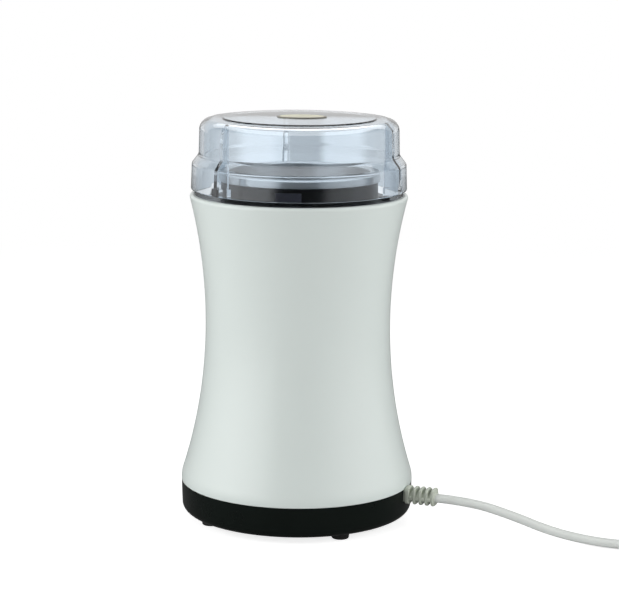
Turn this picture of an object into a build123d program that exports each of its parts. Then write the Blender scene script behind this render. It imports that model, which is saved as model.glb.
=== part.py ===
# Electric coffee grinder: waisted body on a black base ring, clear stepped lid, steel bowl and blade,
# driven by an upright universal motor. Millimetres, +Z up, origin on the table under the middle.
# Angles round the body are counted in degrees from the front (-Y) towards the right (+X).
import math
import os

from build123d import *

os.makedirs("parts", exist_ok=True)

# Fits
press = 0.02            # radial room drawn for a press fit
running = 0.05          # radial room of a shaft in its bush
slip = 0.15             # room between pieces that are put together by hand
seat = 0.3              # room over a seat that a moving piece comes to rest on
touch = 0.05            # room between faces that are clamped together

# Feet and base ring
base_r = 50.0
foot_height = 3.0
foot_r = 4.0
foot_circle = base_r - 9.0
foot_angles = [27, 117, 207, 297]
foot_stem_r = 1.9
base_wall = 2.4
base_floor = 2.4
base_corner = 3.4
seam_z = 16.3
vent_count = 14
vent_inner_r = 14.0
vent_outer_r = 30.0
vent_width = 2.6

# Body shell
wall = 2.2
waist_r = 39.6
waist_z = 85.4
flare_z = 19.2         # height where the waist's curve reaches the base's radius
rim_z = 140.7
skirt_blend_share = 0.81  # share of the upright wall over the seam that the skirt's blend takes
rim_blend = 1.3
tongue_wall = 1.85
tongue_depth = 4.0
bead_ledge = 1.7         # width of the bead that the deck sits on
rim_wall = 2.4          # wall at the rim, outside the deck
bead_height = 2.8

# Base screws and the shell's posts
post_angles = [42, 162, 282]
post_circle = base_r - 8.5
post_r = 3.6
post_top_z = 36.0
post_bottom_z = 8.6
screw_r = 1.5
screw_head_r = 2.9
screw_head_height = 1.8
screw_depth = 12.0
screw_land = 2.2        # plastic under a screw's head
boss_wall = 1.6

# Collar: deck, upstand and bowl pocket in one moulding
deck_r = 44.1
bowl_r = 0.6 * waist_r + 0.4 * deck_r - 11.4    # leaves the lid switch its room beside the pocket
upstand_r = bowl_r + 3.4
deck_thickness = 2.35
upstand_height = 8.4
pocket_wall = 1.6
pocket_floor = 2.4
pocket_hole_r = 8.0
key_angle = -7
key_size = (10.6, 4.1)
key_proud = 0.5

# Bowl
bowl_sheet = 0.8
bowl_depth = 37.9
bowl_corner = 8.0
bowl_gap = 0.6          # room round the bowl in its pocket, taken up by the gasket
rim_lip = 1.8           # how far the lip reaches down over the upstand
gasket_height = 0.5
seal_r = 5.3
seal_flange_r = 7.4
seal_flange = 1.1

# Lid
lid_gap = 2.0           # room between the lid and the deck while the lid isn't pressed
lid_wall = 2.0
lid_r = deck_r + 1.7
lid_step_r = lid_r - 0.4
lid_tier_height = 11.2
lid_cone_height = 4.3
lid_upper_r = lid_r - 3.3
lid_shoulder_r = lid_upper_r - 0.4
lid_shoulder = 4.6
lid_inner_shoulder = 1.4
lid_plateau_r = lid_upper_r - 8.6
lid_plateau = 0.6
lid_top_z = 173.0
fin_thickness = 2.0
fin_angles = [-50.0, 69.5, 189.0]
fin_foot = (4.6, 3.0)   # width and height of the foot at the bottom of a fin

# Lid switch
switch_angle = 69.5
button_circle = (upstand_r + deck_r) / 2 - 0.75
button_r = 2.5
button_stem_r = 1.2
button_foot_r = 2.7
button_foot_height = 1.2
button_travel = 1.5
fin_inner_r = button_circle - 0.2
well_wall = 0.75
well_floor = 1.2
spring_wire_r = 0.3
spring_turns = 5
switch_size = (12.8, 5.8, 6.5)   # along the wall, out from the wall, height
plunger_r = 1.0
plunger_proud = 1.8
plunger_length = 5.0
terminal_size = (0.5, 2.8, 3.6)
terminal_pitch = 4.6
switch_pad = 0.35
switch_screw_r = 0.9
switch_screw_pitch = 6.5

# Motor
shaft_r = 3.0
shaft_bottom_z = 22.5
stator_size = (60.0, 50.0)
stator_corner = 10.0
stator_yoke = (7.0, 6.5)
window_corner = 0.8
stack_z = 66.0
stack_height = 22.0
bore_r = 16.2
air_gap = 0.5
pole_shoe = 3.2
pole_shoe_angle = 62.0
pole_neck = 16.0
coil_width = 4.0
coil_overhang = 5.4
coil_room = 0.4
bolt_place = (25.0, 20.5)
bolt_r = 1.5
bolt_head_r = 2.6
bolt_head = 2.0
leg_r = 2.6
slot_count = 12
slot_r = 1.9
slot_circle = 11.8
slot_mouth = 1.6
end_turn = 5.9
commutator_r = 11.5
commutator_length = 12.5
commutator_gap = 0.6
riser_r = 12.6
bush_r = 7.0
bush_length = 7.5
cup_wall = 2.0
plate_thickness = 2.5
plate_r = 28.5
plate_size = (57.0, 48.0)
window_size = (14.0, 6.0)
window_offset = 16.5
plate_corner = 6.0
plate_gap = 10.0        # from the stack's end to the upper plate
lower_plate_z = 38.0
washer_r = 5.5
washer_height = 0.6
mount_angles = [0, 120, 240]
mount_circle = 24.0
mount_r = 4.0
mount_height = 3.0
mount_screw_r = 1.5

# Brushes
brush_z = 52.0
brush_size = (6.0, 9.5, 6.6)     # width, length, height
holder_wall = 0.7
holder_inner_y = 13.4
holder_outer_y = 27.0
brush_spring_r = 2.2
brush_spring_turns = 4

# Fan
fan_r = 24.0
fan_hub_r = 6.0
fan_plate = 1.2
fan_height = 8.5
fan_blade = 1.2
fan_blades = 9
fan_gap = 1.2

# Blade
spacer_r = 5.0
spacer_height = 3.2
blade_tip_gap = 4.0       # from the blade's tip to the bowl's wall
blade_length = 2 * (bowl_r - blade_tip_gap)
blade_width = 11.0
blade_sheet = 1.4
blade_bend_r = 13.0
blade_bend = 14.0
nut_flats = 8.0
nut_height = 4.0
thread_r = 2.45
shaft_above_nut = 1.0

# Cord and its fittings
cord_r = 2.1            # round tube with the same section area as the flat cord
cord_angle = 70.0
cord_z = 13.3
relief_length = 15.4
relief_ribs = 5
relief_rib = 1.9
relief_size = (8.2, 8.0)
relief_core_r = 2.9
relief_spine = 2.6
neck_size = (6.8, 5.7)
relief_flange = (9.6, 1.6)
inner_cord_inset = 19.5   # from the base's side in to the flat cord's end
clamp_inset = 14.0
inner_cord_end = base_r - inner_cord_inset
clamp_circle = base_r - clamp_inset
clamp_size = (17.0, 6.0, 2.2)
clamp_screw_pitch = 12.0
clamp_screw_r = 1.2
wire_r = 0.8
wire_bend = 2.4
wire_loop = 9.2         # how far the leads run inwards past the cord's end
wire_rise = 7.2
wire_gap = 3.5
capacitor_size = (18.0, 8.0, 12.0)
capacitor_place = (-14.0, 26.0)

# Coil, tie and plug beside the object
coil_centre = (180.0, -20.0)
coil_outer_r = 34.0
coil_pitch = 5.4
coil_layer = 4.8
coil_layer_turns = 2
coil_tail = 31.0
tie_sheet = 0.5
tie_width = 6.0
tie_room = 0.2
plug_size = (24.0, 26.0, 14.0)
plug_neck = ((9.0, 8.0), (11.0, 9.0))
plug_steps = (0.0, 4.0, 9.0)   # where the neck's two sections and the body's first are, along the plug
plug_blade_size = (6.35, 17.0, 1.5)
plug_hole_inset = 4.0
plug_hole_r = 1.5
plug_blade_pitch = 12.7

# Waist curves and heights that follow from the sizes above
rim_r = deck_r + slip + rim_wall
bead_inner_r = deck_r - bead_ledge


def curve_radius(radius, z):
    """Radius of the arc that is upright at the waist and reaches a radius at a height."""
    out = radius - waist_r
    return ((z - waist_z) ** 2 + out**2) / (2 * out)


lower_curve = curve_radius(base_r, flare_z)
upper_curve = curve_radius(rim_r, rim_z)
skirt_turn = math.asin((waist_z - flare_z) / lower_curve)
skirt_blend = skirt_blend_share * (flare_z - seam_z) / math.tan(skirt_turn / 2)
floor_z = foot_height + base_floor
deck_z = rim_z - 0.1
ledge_z = deck_z - deck_thickness
upstand_z = deck_z + upstand_height
bowl_top_z = upstand_z + gasket_height + bowl_sheet
bowl_floor_z = bowl_top_z - bowl_depth
pocket_r = bowl_r + bowl_sheet + bowl_gap
pocket_outer_r = pocket_r + pocket_wall
pocket_floor_z = bowl_floor_z - bowl_sheet - seat
pocket_under_z = pocket_floor_z - pocket_floor
lid_z = rim_z + lid_gap
stack_top_z = stack_z + stack_height
upper_plate_z = stack_top_z + plate_gap
upper_plate_top_z = upper_plate_z + plate_thickness
motor_post_z = upper_plate_top_z + mount_height + 2 * touch
lower_plate_top_z = lower_plate_z + plate_thickness
seal_top_z = bowl_floor_z + touch + seal_flange
spacer_z = seal_top_z + seat
blade_z = spacer_z + spacer_height
nut_z = blade_z + blade_sheet
shaft_top_z = nut_z + nut_height + shaft_above_nut
button_foot_z = 129.1
switch_top_z = button_foot_z - seat - plunger_proud
switch_z = switch_top_z - switch_size[2]
well_floor_z = button_foot_z + button_foot_height + seat
button_top_z = lid_z - seat / 2
tie_top = tie_sheet + tie_room
coil_z = cord_r + tie_top


def around(angle, radius=0.0, z=0.0):
    """A place at an angle round the body, with its own X pointing outwards."""
    return Rot(0, 0, angle - 90) * Pos(radius, 0, z)


def spot(radius, angle, z):
    """The point at a radius, angle and height."""
    turn = math.radians(angle)
    return (radius * math.sin(turn), -radius * math.cos(turn), z)


def post(radius, low, high):
    """An upright cylinder between two heights."""
    return Pos(0, 0, low) * Cylinder(radius, high - low, align=(Align.CENTER, Align.CENTER, Align.MIN))


def block(x, y, low, high):
    """An upright box between two heights."""
    return Pos(0, 0, low) * Box(x, y, high - low, align=(Align.CENTER, Align.CENTER, Align.MIN))


def pipe(inner, outer, low, high):
    """An upright tube between two heights."""
    return post(outer, low, high) - post(inner, low - 1, high + 1)


def turned(points, rounds=()):
    """A body of revolution from an outline of (radius, height) points, some corners rounded."""
    return spun(make_face(Polyline(*points, close=True)), rounds)


def spun(face, rounds=()):
    """A body of revolution from a flat outline, with each (corner, radius) of it rounded."""
    sketch = Sketch() + face
    for corner, radius in rounds:
        vertex = sketch.vertices().sort_by_distance((corner[0], corner[1], 0))[0]
        sketch = fillet(vertex, radius)
    return revolve(Plane.XZ * sketch, Axis.Z)


def tube(points, radius, bend):
    """A round tube along straight runs joined by arcs of one radius."""
    path = FilletPolyline(*points, radius=bend)
    return sweep(Plane(origin=path @ 0, z_dir=path % 0) * Circle(radius), path=path)


def helix_spring(mean_r, wire, low, high, turns):
    """A compression spring between two heights."""
    height = high - low - 2 * wire
    path = Helix(pitch=height / turns, height=height, radius=mean_r)
    coil = sweep(Plane(origin=path @ 0, z_dir=path % 0) * RegularPolygon(wire, 6), path=path)
    return Pos(0, 0, low + wire) * coil


def together(pieces):
    """Separate solids that share one node."""
    return Compound(children=[solid for piece in pieces for solid in piece.solids()])


# Body shell and its waist

def waist_radius(z, inset=0.0):
    """Radius of the waisted wall at a height, or of its inside when inset by the wall."""
    curve = (upper_curve if z > waist_z else lower_curve) + inset
    return waist_r - inset + curve - math.sqrt(curve**2 - (z - waist_z) ** 2)


def waist_arc(low, high, inset=0.0):
    """The wall's arc between two heights that lie on the same side of the waist."""
    heights = (low, (low + high) / 2, high)
    nudge = 1e-9 if min(low, high) >= waist_z else -1e-9
    return ThreePointArc(*[(waist_radius(z + nudge, inset), z) for z in heights])


def height_at(radius, inset=0.0):
    """Height below the waist where the wall reaches a radius."""
    curve = lower_curve + inset
    return waist_z - math.sqrt(curve**2 - (curve - (radius - waist_r + inset)) ** 2)


def make_body_shell():
    tongue_r = base_r - base_wall - slip
    tongue_inner = tongue_r - tongue_wall
    inner_z = height_at(tongue_inner, wall)
    bead_z = ledge_z - touch
    bead_low = bead_z - bead_height
    slope_z = bead_low - 2
    ledge_r = deck_r + slip
    outline = (
        Line((base_r, seam_z), (base_r, flare_z))
        + waist_arc(flare_z, waist_z)
        + waist_arc(waist_z, rim_z)
        + Polyline(
            (waist_radius(rim_z), rim_z),
            (ledge_r, rim_z),
            (ledge_r, bead_z),
            (bead_inner_r, bead_z),
            (bead_inner_r, bead_low),
            (waist_radius(slope_z, wall), slope_z),
        )
        + waist_arc(slope_z, waist_z, wall)
        + waist_arc(waist_z, inner_z, wall)
        + Polyline(
            (tongue_inner, inner_z),
            (tongue_inner, seam_z - tongue_depth),
            (tongue_r, seam_z - tongue_depth),
            (tongue_r, seam_z),
            (base_r, seam_z),
        )
    )
    shell = spun(
        make_face(outline),
        [((base_r, flare_z), skirt_blend), ((waist_radius(rim_z), rim_z), rim_blend)],
    )
    inside = post(tongue_r, post_bottom_z, post_top_z)
    for angle in post_angles:
        column = around(angle, post_circle) * post(post_r, post_bottom_z, post_top_z)
        web = around(angle, post_circle + post_r) * block(2 * post_r, 2, seam_z + 2, post_top_z)
        web = web & post(waist_radius(post_top_z), seam_z, post_top_z)
        shell += (column & inside) + web
    for angle in post_angles:
        pilot_top = foot_height + screw_head_height + screw_depth + 6
        shell -= around(angle, post_circle) * post(screw_r + press, post_bottom_z - 1, pilot_top)
    notch = block(2 * wall + 8, neck_size[0] + 2 * slip, seam_z - tongue_depth - 1, seam_z)
    return shell - around(cord_angle, tongue_r) * notch


# Base cover, feet and screws

def make_base_cover():
    cover = turned(
        [(0, foot_height), (base_r - 0.4, foot_height), (base_r, seam_z - touch),
         (base_r - base_wall, seam_z - touch), (base_r - base_wall - 0.4, floor_z), (0, floor_z)],
        [((base_r - 0.4, foot_height), base_corner), ((base_r - base_wall - 0.4, floor_z), 1.5)],
    )
    screw_seat = post_bottom_z - touch
    for angle in post_angles:
        cover += around(angle, post_circle) * post(screw_head_r + boss_wall, floor_z - 1, screw_seat)
    for side in (-1, 1):
        tower = Pos(0, side * (clamp_size[0] / 4 + cord_r / 2), 0)
        width = clamp_size[0] / 2 - cord_r
        cover += around(cord_angle, clamp_circle) * tower * block(clamp_size[1], width, floor_z - 1,
                                                                  cord_z + cord_r)
    saddle = block(clamp_size[1], 2 * cord_r + 2, floor_z - 1, cord_z - cord_r - touch)
    cover += around(cord_angle, clamp_circle) * saddle
    for angle in post_angles:
        place = around(angle, post_circle)
        head_top = screw_seat - screw_land
        cover -= place * post(screw_head_r + slip, foot_height - 1, head_top)
        cover -= place * post(screw_r + slip, foot_height, screw_seat + 1)
    for angle in foot_angles:
        cover -= around(angle, foot_circle) * post(foot_stem_r + touch, foot_height - 1, floor_z + 1)
    for index in range(vent_count):
        length = vent_outer_r - vent_inner_r
        slot = SlotOverall(length, vent_width)
        cut = Pos((vent_inner_r + vent_outer_r) / 2, 0, foot_height - 1) * extrude(slot, base_floor + 2)
        cover -= Rot(0, 0, 360 / vent_count * index) * cut
    notch = block(2 * base_wall + 4, neck_size[0] + 2 * touch, cord_z - neck_size[1] / 2 - touch, seam_z + 1)
    cover -= around(cord_angle, base_r) * notch
    for side in (-1, 1):
        hole = Pos(0, side * clamp_screw_pitch / 2, 0)
        cover -= around(cord_angle, clamp_circle) * hole * post(clamp_screw_r + press, floor_z + 1, seam_z)
    length, depth, height = capacitor_size
    tray = block(length + 3, depth + 3, floor_z - 0.5, floor_z + 3)
    tray -= block(length + 2 * slip, depth + 2 * slip, floor_z, floor_z + 4)
    return cover + Pos(*capacitor_place) * tray


def make_feet():
    foot = turned(
        [(0, 0), (foot_r - 0.4, 0), (foot_r, foot_height - touch), (foot_stem_r, foot_height - touch),
         (foot_stem_r, floor_z + touch), (foot_stem_r + 0.8, floor_z + touch),
         (foot_stem_r - 0.4, floor_z + 1.8), (0, floor_z + 1.8)],
        [((foot_r - 0.4, 0), 0.6)],
    )
    return together([around(angle, foot_circle) * foot for angle in foot_angles])


def make_screw(radius, head_r, head, length):
    """A pan-head screw with its head's seat at height 0 and its shank upwards."""
    screw = turned(
        [(0, -head), (head_r, -head), (head_r, 0), (radius, 0), (radius, length - radius),
         (radius / 2, length), (0, length)],
        [((head_r, -head), head * 0.4)],
    )
    slot = min(head / 2, 0.9)
    return screw - block(head_r * 1.1, 0.6, -head - 1, -head + slot) - block(0.6, head_r * 1.1, -head - 1,
                                                                             -head + slot)


def make_base_screws():
    seat_z = post_bottom_z - touch - screw_land - touch
    screw = make_screw(screw_r, screw_head_r, screw_head_height, screw_depth)
    return together([around(angle, post_circle, seat_z) * screw for angle in post_angles])


# Collar, bowl and their seals

def make_collar():
    under = pocket_under_z
    collar = turned(
        [(pocket_hole_r, under), (pocket_outer_r, under), (pocket_outer_r, ledge_z), (deck_r, ledge_z),
         (deck_r, deck_z), (upstand_r, deck_z), (upstand_r, upstand_z), (pocket_r, upstand_z),
         (pocket_r, pocket_floor_z), (pocket_hole_r, pocket_floor_z)],
        [((pocket_outer_r, under), bowl_corner - 1), ((pocket_r, pocket_floor_z), bowl_corner - 2),
         ((deck_r, deck_z), 0.5), ((upstand_r, deck_z), 0.8), ((upstand_r, upstand_z), 0.4)],
    )
    for angle in mount_angles:
        pillar = post(mount_r, motor_post_z, under + 0.5)
        pillar -= post(mount_screw_r + press, motor_post_z - 1, under - 0.5)
        collar += around(angle, mount_circle) * pillar
    width, height = key_size
    key = block(1.6, width, deck_z + 0.8, deck_z + 0.8 + height)
    key = fillet(key.edges().filter_by(Axis.Z), 0.3)
    collar += around(key_angle, upstand_r + key_proud - 0.8) * key
    well = post(button_r + slip + well_wall, well_floor_z, ledge_z + 0.5)
    collar += around(switch_angle, button_circle) * well
    pad_depth = pocket_wall + switch_pad
    pad = block(pad_depth, switch_size[0], switch_z, switch_top_z)
    pad = around(switch_angle, pocket_outer_r + switch_pad - pad_depth / 2) * pad
    collar += pad - post(pocket_r + 0.5, switch_z - 1, switch_top_z + 1)
    place = around(switch_angle, button_circle)
    collar -= place * post(button_r + slip, well_floor_z + well_floor, deck_z + 1)
    collar -= place * post(button_stem_r + slip, well_floor_z - 1, deck_z)
    for side in (-1, 1):
        hole = Pos(0, side * switch_screw_pitch / 2, 0)
        drill = Rot(0, 90, 0) * Cylinder(switch_screw_r + press, 3 * pocket_wall)
        collar -= around(switch_angle, pocket_outer_r, (switch_z + switch_top_z) / 2) * hole * drill
    return collar


def make_bowl():
    outer = bowl_r + bowl_sheet
    lip = upstand_r + slip
    floor_under = bowl_floor_z - bowl_sheet
    return turned(
        [(seal_r + touch, bowl_floor_z), (bowl_r, bowl_floor_z), (bowl_r, bowl_top_z),
         (lip + bowl_sheet, bowl_top_z), (lip + bowl_sheet, upstand_z - rim_lip), (lip, upstand_z - rim_lip),
         (lip, bowl_top_z - bowl_sheet), (outer, bowl_top_z - bowl_sheet), (outer, floor_under),
         (seal_r + touch, floor_under)],
        [((bowl_r, bowl_floor_z), bowl_corner), ((outer, floor_under), bowl_corner + bowl_sheet),
         ((bowl_r, bowl_top_z), 0.5), ((lip + bowl_sheet, bowl_top_z), 0.6)],
    )


def make_bowl_gasket():
    return pipe(pocket_r + 0.1, upstand_r - 0.3, upstand_z, bowl_top_z - bowl_sheet)


def make_shaft_seal():
    hole = shaft_r + running
    return turned(
        [(hole, pocket_under_z), (seal_r - 0.8, pocket_under_z), (seal_r, pocket_floor_z),
         (seal_r, bowl_floor_z + touch), (seal_flange_r, bowl_floor_z + touch),
         (seal_flange_r - 0.6, seal_top_z), (hole, seal_top_z)],
    )


# Lid with its stepped wall and three fins

def lid_wall_outline():
    """The lid's wall and top as (radius, height) points, outside first."""
    step_z = lid_z + lid_tier_height
    cone_z = step_z + lid_cone_height
    shoulder_top = lid_top_z - lid_plateau
    ceiling_z = lid_top_z - lid_wall
    return [
        (lid_r - 0.5, lid_z), (lid_r, lid_z + 0.5), (lid_step_r, step_z), (lid_upper_r, cone_z),
        (lid_shoulder_r, shoulder_top), (lid_plateau_r + 0.3, shoulder_top), (lid_plateau_r, lid_top_z),
        (0, lid_top_z), (0, ceiling_z), (lid_shoulder_r - lid_wall, ceiling_z),
        (lid_upper_r - lid_wall, cone_z - 0.8), (lid_step_r - lid_wall, step_z - 0.8),
        (lid_r - lid_wall, lid_z + 0.3), (lid_r - lid_wall + 0.4, lid_z),
    ]


def make_lid():
    points = lid_wall_outline()
    lid = turned(points, [(points[4], lid_shoulder), (points[9], lid_inner_shoulder),
                          (points[2], 1.2), (points[3], 1.2), (points[10], 1.2), (points[11], 1.2)])
    cone_z = lid_z + lid_tier_height + lid_cone_height
    ceiling_z = lid_top_z - lid_wall
    embed = lid_wall / 2
    profile = make_face(Polyline(
        (fin_inner_r, lid_z + 0.2), (lid_r - embed, lid_z + 0.6), (lid_step_r - embed, cone_z - lid_cone_height),
        (lid_upper_r - embed, cone_z), (lid_upper_r - embed, ceiling_z - 4), (fin_inner_r, ceiling_z - 0.2),
        close=True))
    fin = Pos(0, fin_thickness / 2, 0) * extrude(Plane.XZ * profile, fin_thickness)
    foot_width, foot_height_up = fin_foot
    foot_depth = lid_r - embed - fin_inner_r
    foot = Pos(fin_inner_r + foot_depth / 2, 0, 0) * block(foot_depth, foot_width, lid_z + 0.2,
                                                           lid_z + 0.2 + foot_height_up)
    for angle in fin_angles:
        lid += Rot(0, 0, angle - 90) * (fin + foot)
    return lid


# Lid switch

def make_switch_button():
    foot_top = button_foot_z + button_foot_height
    cap_z = deck_z - 0.6
    button = turned(
        [(0, button_foot_z), (button_foot_r, button_foot_z), (button_foot_r, foot_top),
         (button_stem_r, foot_top), (button_stem_r, cap_z), (button_r, cap_z), (button_r, button_top_z),
         (0, button_top_z)],
        [((button_r, button_top_z), 0.4)],
    )
    return around(switch_angle, button_circle) * button


def make_button_spring():
    mean_r = (button_stem_r + button_r) / 2 + 0.1
    spring = helix_spring(mean_r, spring_wire_r, well_floor_z + well_floor + touch, deck_z - 0.6 - touch,
                          spring_turns)
    return around(switch_angle, button_circle) * spring


switch_face_r = pocket_outer_r + switch_pad + touch
switch_middle_r = switch_face_r + switch_size[1] / 2


def make_microswitch():
    length, depth, height = switch_size
    case = block(depth, length, switch_z, switch_top_z)
    case = fillet(case.edges().filter_by(Axis.Z), 0.4)
    case -= post(plunger_r + touch, switch_top_z + plunger_proud - plunger_length - button_travel - touch,
                 switch_top_z + 1)
    for side in (-1, 1):
        drill = Rot(0, 90, 0) * Cylinder(switch_screw_r + slip, 2 * depth)
        case -= Pos(0, side * switch_screw_pitch / 2, (switch_z + switch_top_z) / 2) * drill
    return around(switch_angle, switch_middle_r) * case


def make_switch_plunger():
    top = switch_top_z + plunger_proud
    plunger = fillet(post(plunger_r, top - plunger_length, top).edges().sort_by(Axis.Z)[-1], 0.4)
    return around(switch_angle, switch_middle_r) * plunger


def make_switch_terminals():
    thick, width, height = terminal_size
    tab = block(thick, width, switch_z - touch - height, switch_z - touch) - Pos(
        0, 0, switch_z - height + 0.6) * (Rot(0, 90, 0) * Cylinder(0.6, 4))
    return together([around(switch_angle, switch_middle_r) * Pos(0, step * terminal_pitch, 0) * tab
                     for step in (-1, 0, 1)])


def make_switch_screws():
    reach = switch_size[1] + pocket_wall
    screw = make_screw(switch_screw_r, 1.7, 0.8, reach)
    face = switch_face_r + switch_size[1] + touch
    middle = (switch_z + switch_top_z) / 2
    return together([around(switch_angle, face, middle) * Pos(0, side * switch_screw_pitch / 2, 0)
                     * Rot(0, -90, 0) * screw for side in (-1, 1)])


# Motor: stator, coils, brackets, bushes and bolts

def bolt_places():
    x, y = bolt_place
    return [(x * i, y * j) for i in (-1, 1) for j in (-1, 1)]


def make_stator_core():
    width, depth = stator_size
    yoke_x, yoke_y = stator_yoke
    core = RectangleRounded(width, depth, stator_corner)
    core -= RectangleRounded(width - 2 * yoke_x, depth - 2 * yoke_y, window_corner)
    shoe = Circle(bore_r + pole_shoe) - Circle(bore_r)
    reach = 2 * bore_r
    half = math.radians(pole_shoe_angle)
    wedge = make_face(Polyline((0, 0), (reach, reach * math.tan(half)), (reach, -reach * math.tan(half)),
                               close=True))
    neck_length = width / 2 - yoke_x / 2 - bore_r
    neck = Pos(bore_r + neck_length / 2, 0) * Rectangle(neck_length, pole_neck) - Circle(bore_r)
    pole = (shoe & wedge) + neck
    core += pole + Rot(0, 0, 180) * pole
    for x, y in bolt_places():
        core -= Pos(x, y) * Circle(bolt_r + slip)
    return Pos(0, 0, stack_z) * extrude(core, stack_height)


def make_field_coils():
    inner_z = stack_height + 2 * coil_room
    inner_y = pole_neck + 2 * coil_room
    depth = stator_size[1] - 2 * stator_yoke[1] - 2 * coil_room
    ring = RectangleRounded(depth, inner_z + 2 * coil_overhang, coil_overhang) - RectangleRounded(
        inner_y, inner_z, 1.0)
    inner_x = bore_r + pole_shoe - 0.6
    middle_z = stack_z + stack_height / 2
    coil = Pos(inner_x, 0, middle_z) * extrude(Plane.YZ * ring, coil_width)
    coil = fillet(coil.edges().group_by(Axis.X)[-1].filter_by(GeomType.LINE), 0.8)
    return together([coil, Rot(0, 0, 180) * coil])


def bracket_plate(low):
    """Flat plate with bolt holes and air windows, between low and its thickness above."""
    plate = Circle(plate_r) + RectangleRounded(*plate_size, plate_corner)
    for x, y in bolt_places():
        plate -= Pos(x, y) * Circle(bolt_r + slip)
    for side in (-1, 1):
        window = Pos(side * window_offset, 0) * SlotOverall(*window_size, rotation=90)
        plate -= window
    return Pos(0, 0, low) * extrude(plate, plate_thickness)


def bearing_cup(low, high, mouth):
    """The bush's holder: a cup with its mouth towards the motor's middle."""
    cup = post(bush_r + press + cup_wall, low, high)
    return cup - post(bush_r + press, *mouth) - post(shaft_r + 1.2, low - 1, high + 1)


bush_low_z = lower_plate_top_z + 1.0 - bush_length
bush_high_z = upper_plate_z - 1.0


def make_upper_bracket():
    top = bush_high_z + bush_length + 1.0
    bracket = bracket_plate(upper_plate_z) + post(bush_r + press + cup_wall, upper_plate_z - 1.0, top)
    for x, y in bolt_places():
        leg = post(leg_r, stack_top_z + touch, upper_plate_z + 0.5)
        bracket += Pos(x, y, 0) * leg
    for x, y in bolt_places():
        bracket -= Pos(x, y, 0) * post(bolt_r + slip, stack_top_z - 1, upper_plate_top_z + 1)
    bracket -= post(bush_r + press, upper_plate_z - 2, bush_high_z + bush_length + press)
    bracket -= post(shaft_r + 1.2, upper_plate_z, top + 1)
    for angle in mount_angles:
        bracket -= around(angle, mount_circle) * post(mount_screw_r + slip, upper_plate_z - 1,
                                                      upper_plate_top_z + 1)
    return bracket


def make_lower_bracket():
    low = bush_low_z - 1.0
    bracket = bracket_plate(lower_plate_z) + post(bush_r + press + cup_wall, low, lower_plate_top_z + 1.0)
    for x, y in bolt_places():
        bracket += Pos(x, y, 0) * post(leg_r, lower_plate_z + 0.5, stack_z - touch)
    holder_low = brush_z - brush_size[2] / 2 - touch - holder_wall - touch
    pedestal_length = holder_outer_y - holder_inner_y - 5
    for side in (-1, 1):
        pedestal = Pos(0, side * (holder_outer_y - pedestal_length / 2), 0)
        bracket += pedestal * block(brush_size[0] + 4, pedestal_length, lower_plate_z + 0.5, holder_low)
    for x, y in bolt_places():
        bracket -= Pos(x, y, 0) * post(bolt_r + slip, lower_plate_z - 1, stack_z + 1)
    bracket -= post(bush_r + press, bush_low_z - press, lower_plate_top_z + 2)
    return bracket - post(shaft_r + 1.2, low - 1, bush_low_z + 1)


def make_bush(low):
    bush = pipe(shaft_r + running, bush_r, low, low + bush_length)
    return chamfer(bush.edges().filter_by(GeomType.CIRCLE), 0.4)


def make_motor_bolts():
    seat_z = lower_plate_z - touch
    length = upper_plate_top_z - seat_z + 1.2
    bolt = make_screw(bolt_r, bolt_head_r, bolt_head, length + 2.4)
    nut = extrude(RegularPolygon(bolt_head_r, 6), 2.2) - post(bolt_r + press, -1, 4)
    nut = Pos(0, 0, upper_plate_top_z + touch) * nut
    return together([Pos(x, y, 0) * piece for x, y in bolt_places()
                     for piece in (Pos(0, 0, seat_z) * bolt, nut)])


def make_thrust_washers():
    low = bush_low_z + bush_length
    high = bush_high_z
    lower = pipe(shaft_r + running, washer_r, low + seat, low + seat + washer_height)
    upper = pipe(shaft_r + running, washer_r, high - seat - washer_height, high - seat)
    return together([lower, upper])


def make_motor_mounts():
    low = upper_plate_top_z + touch
    ring = fillet(post(mount_r + 0.6, low, low + mount_height).edges().filter_by(GeomType.CIRCLE), 0.5)
    ring -= post(mount_screw_r + slip, low - 1, low + mount_height + 1)
    return together([around(angle, mount_circle) * ring for angle in mount_angles])


def make_mount_screws():
    seat_z = upper_plate_z - touch
    length = pocket_under_z - seat_z - 1
    screw = make_screw(mount_screw_r, 2.7, 1.8, length)
    return together([around(angle, mount_circle, seat_z) * screw for angle in mount_angles])


# Rotor: shaft, armature, commutator, fan and blade

commutator_top_z = stack_z - end_turn - commutator_gap
commutator_z = commutator_top_z - commutator_length


def make_motor_shaft():
    shaft = turned(
        [(0, shaft_bottom_z), (shaft_r - 0.4, shaft_bottom_z), (shaft_r, shaft_bottom_z + 0.4),
         (shaft_r, blade_z - touch), (thread_r, blade_z - touch), (thread_r, shaft_top_z - 0.5),
         (thread_r - 0.5, shaft_top_z), (0, shaft_top_z)],
    )
    return shaft


def make_armature_core():
    disc = Circle(bore_r - air_gap) - Circle(shaft_r + press)
    slot = Pos(slot_circle, 0) * Circle(slot_r + touch)
    slot += Pos((slot_circle + bore_r) / 2, 0) * Rectangle(bore_r - slot_circle, slot_mouth)
    for index in range(slot_count):
        disc -= Rot(0, 0, 360 / slot_count * index) * slot
    return Pos(0, 0, stack_z) * extrude(disc, stack_height)


def make_armature_windings():
    inner = shaft_r + 1.6
    outer = bore_r - air_gap - 1.2
    bundle = turned(
        [(inner, 0), (outer, 0), (outer, end_turn), (inner, end_turn)],
        [((outer, end_turn), 2.6), ((inner, end_turn), 1.0)],
    )
    windings = Pos(0, 0, stack_top_z + touch) * bundle
    windings += Pos(0, 0, stack_z - touch) * Rot(180, 0, 0) * bundle
    for index in range(slot_count):
        strand = Pos(slot_circle, 0, 0) * post(slot_r, stack_z - 1, stack_top_z + 1)
        windings += Rot(0, 0, 360 / slot_count * index) * strand
    return windings


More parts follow.
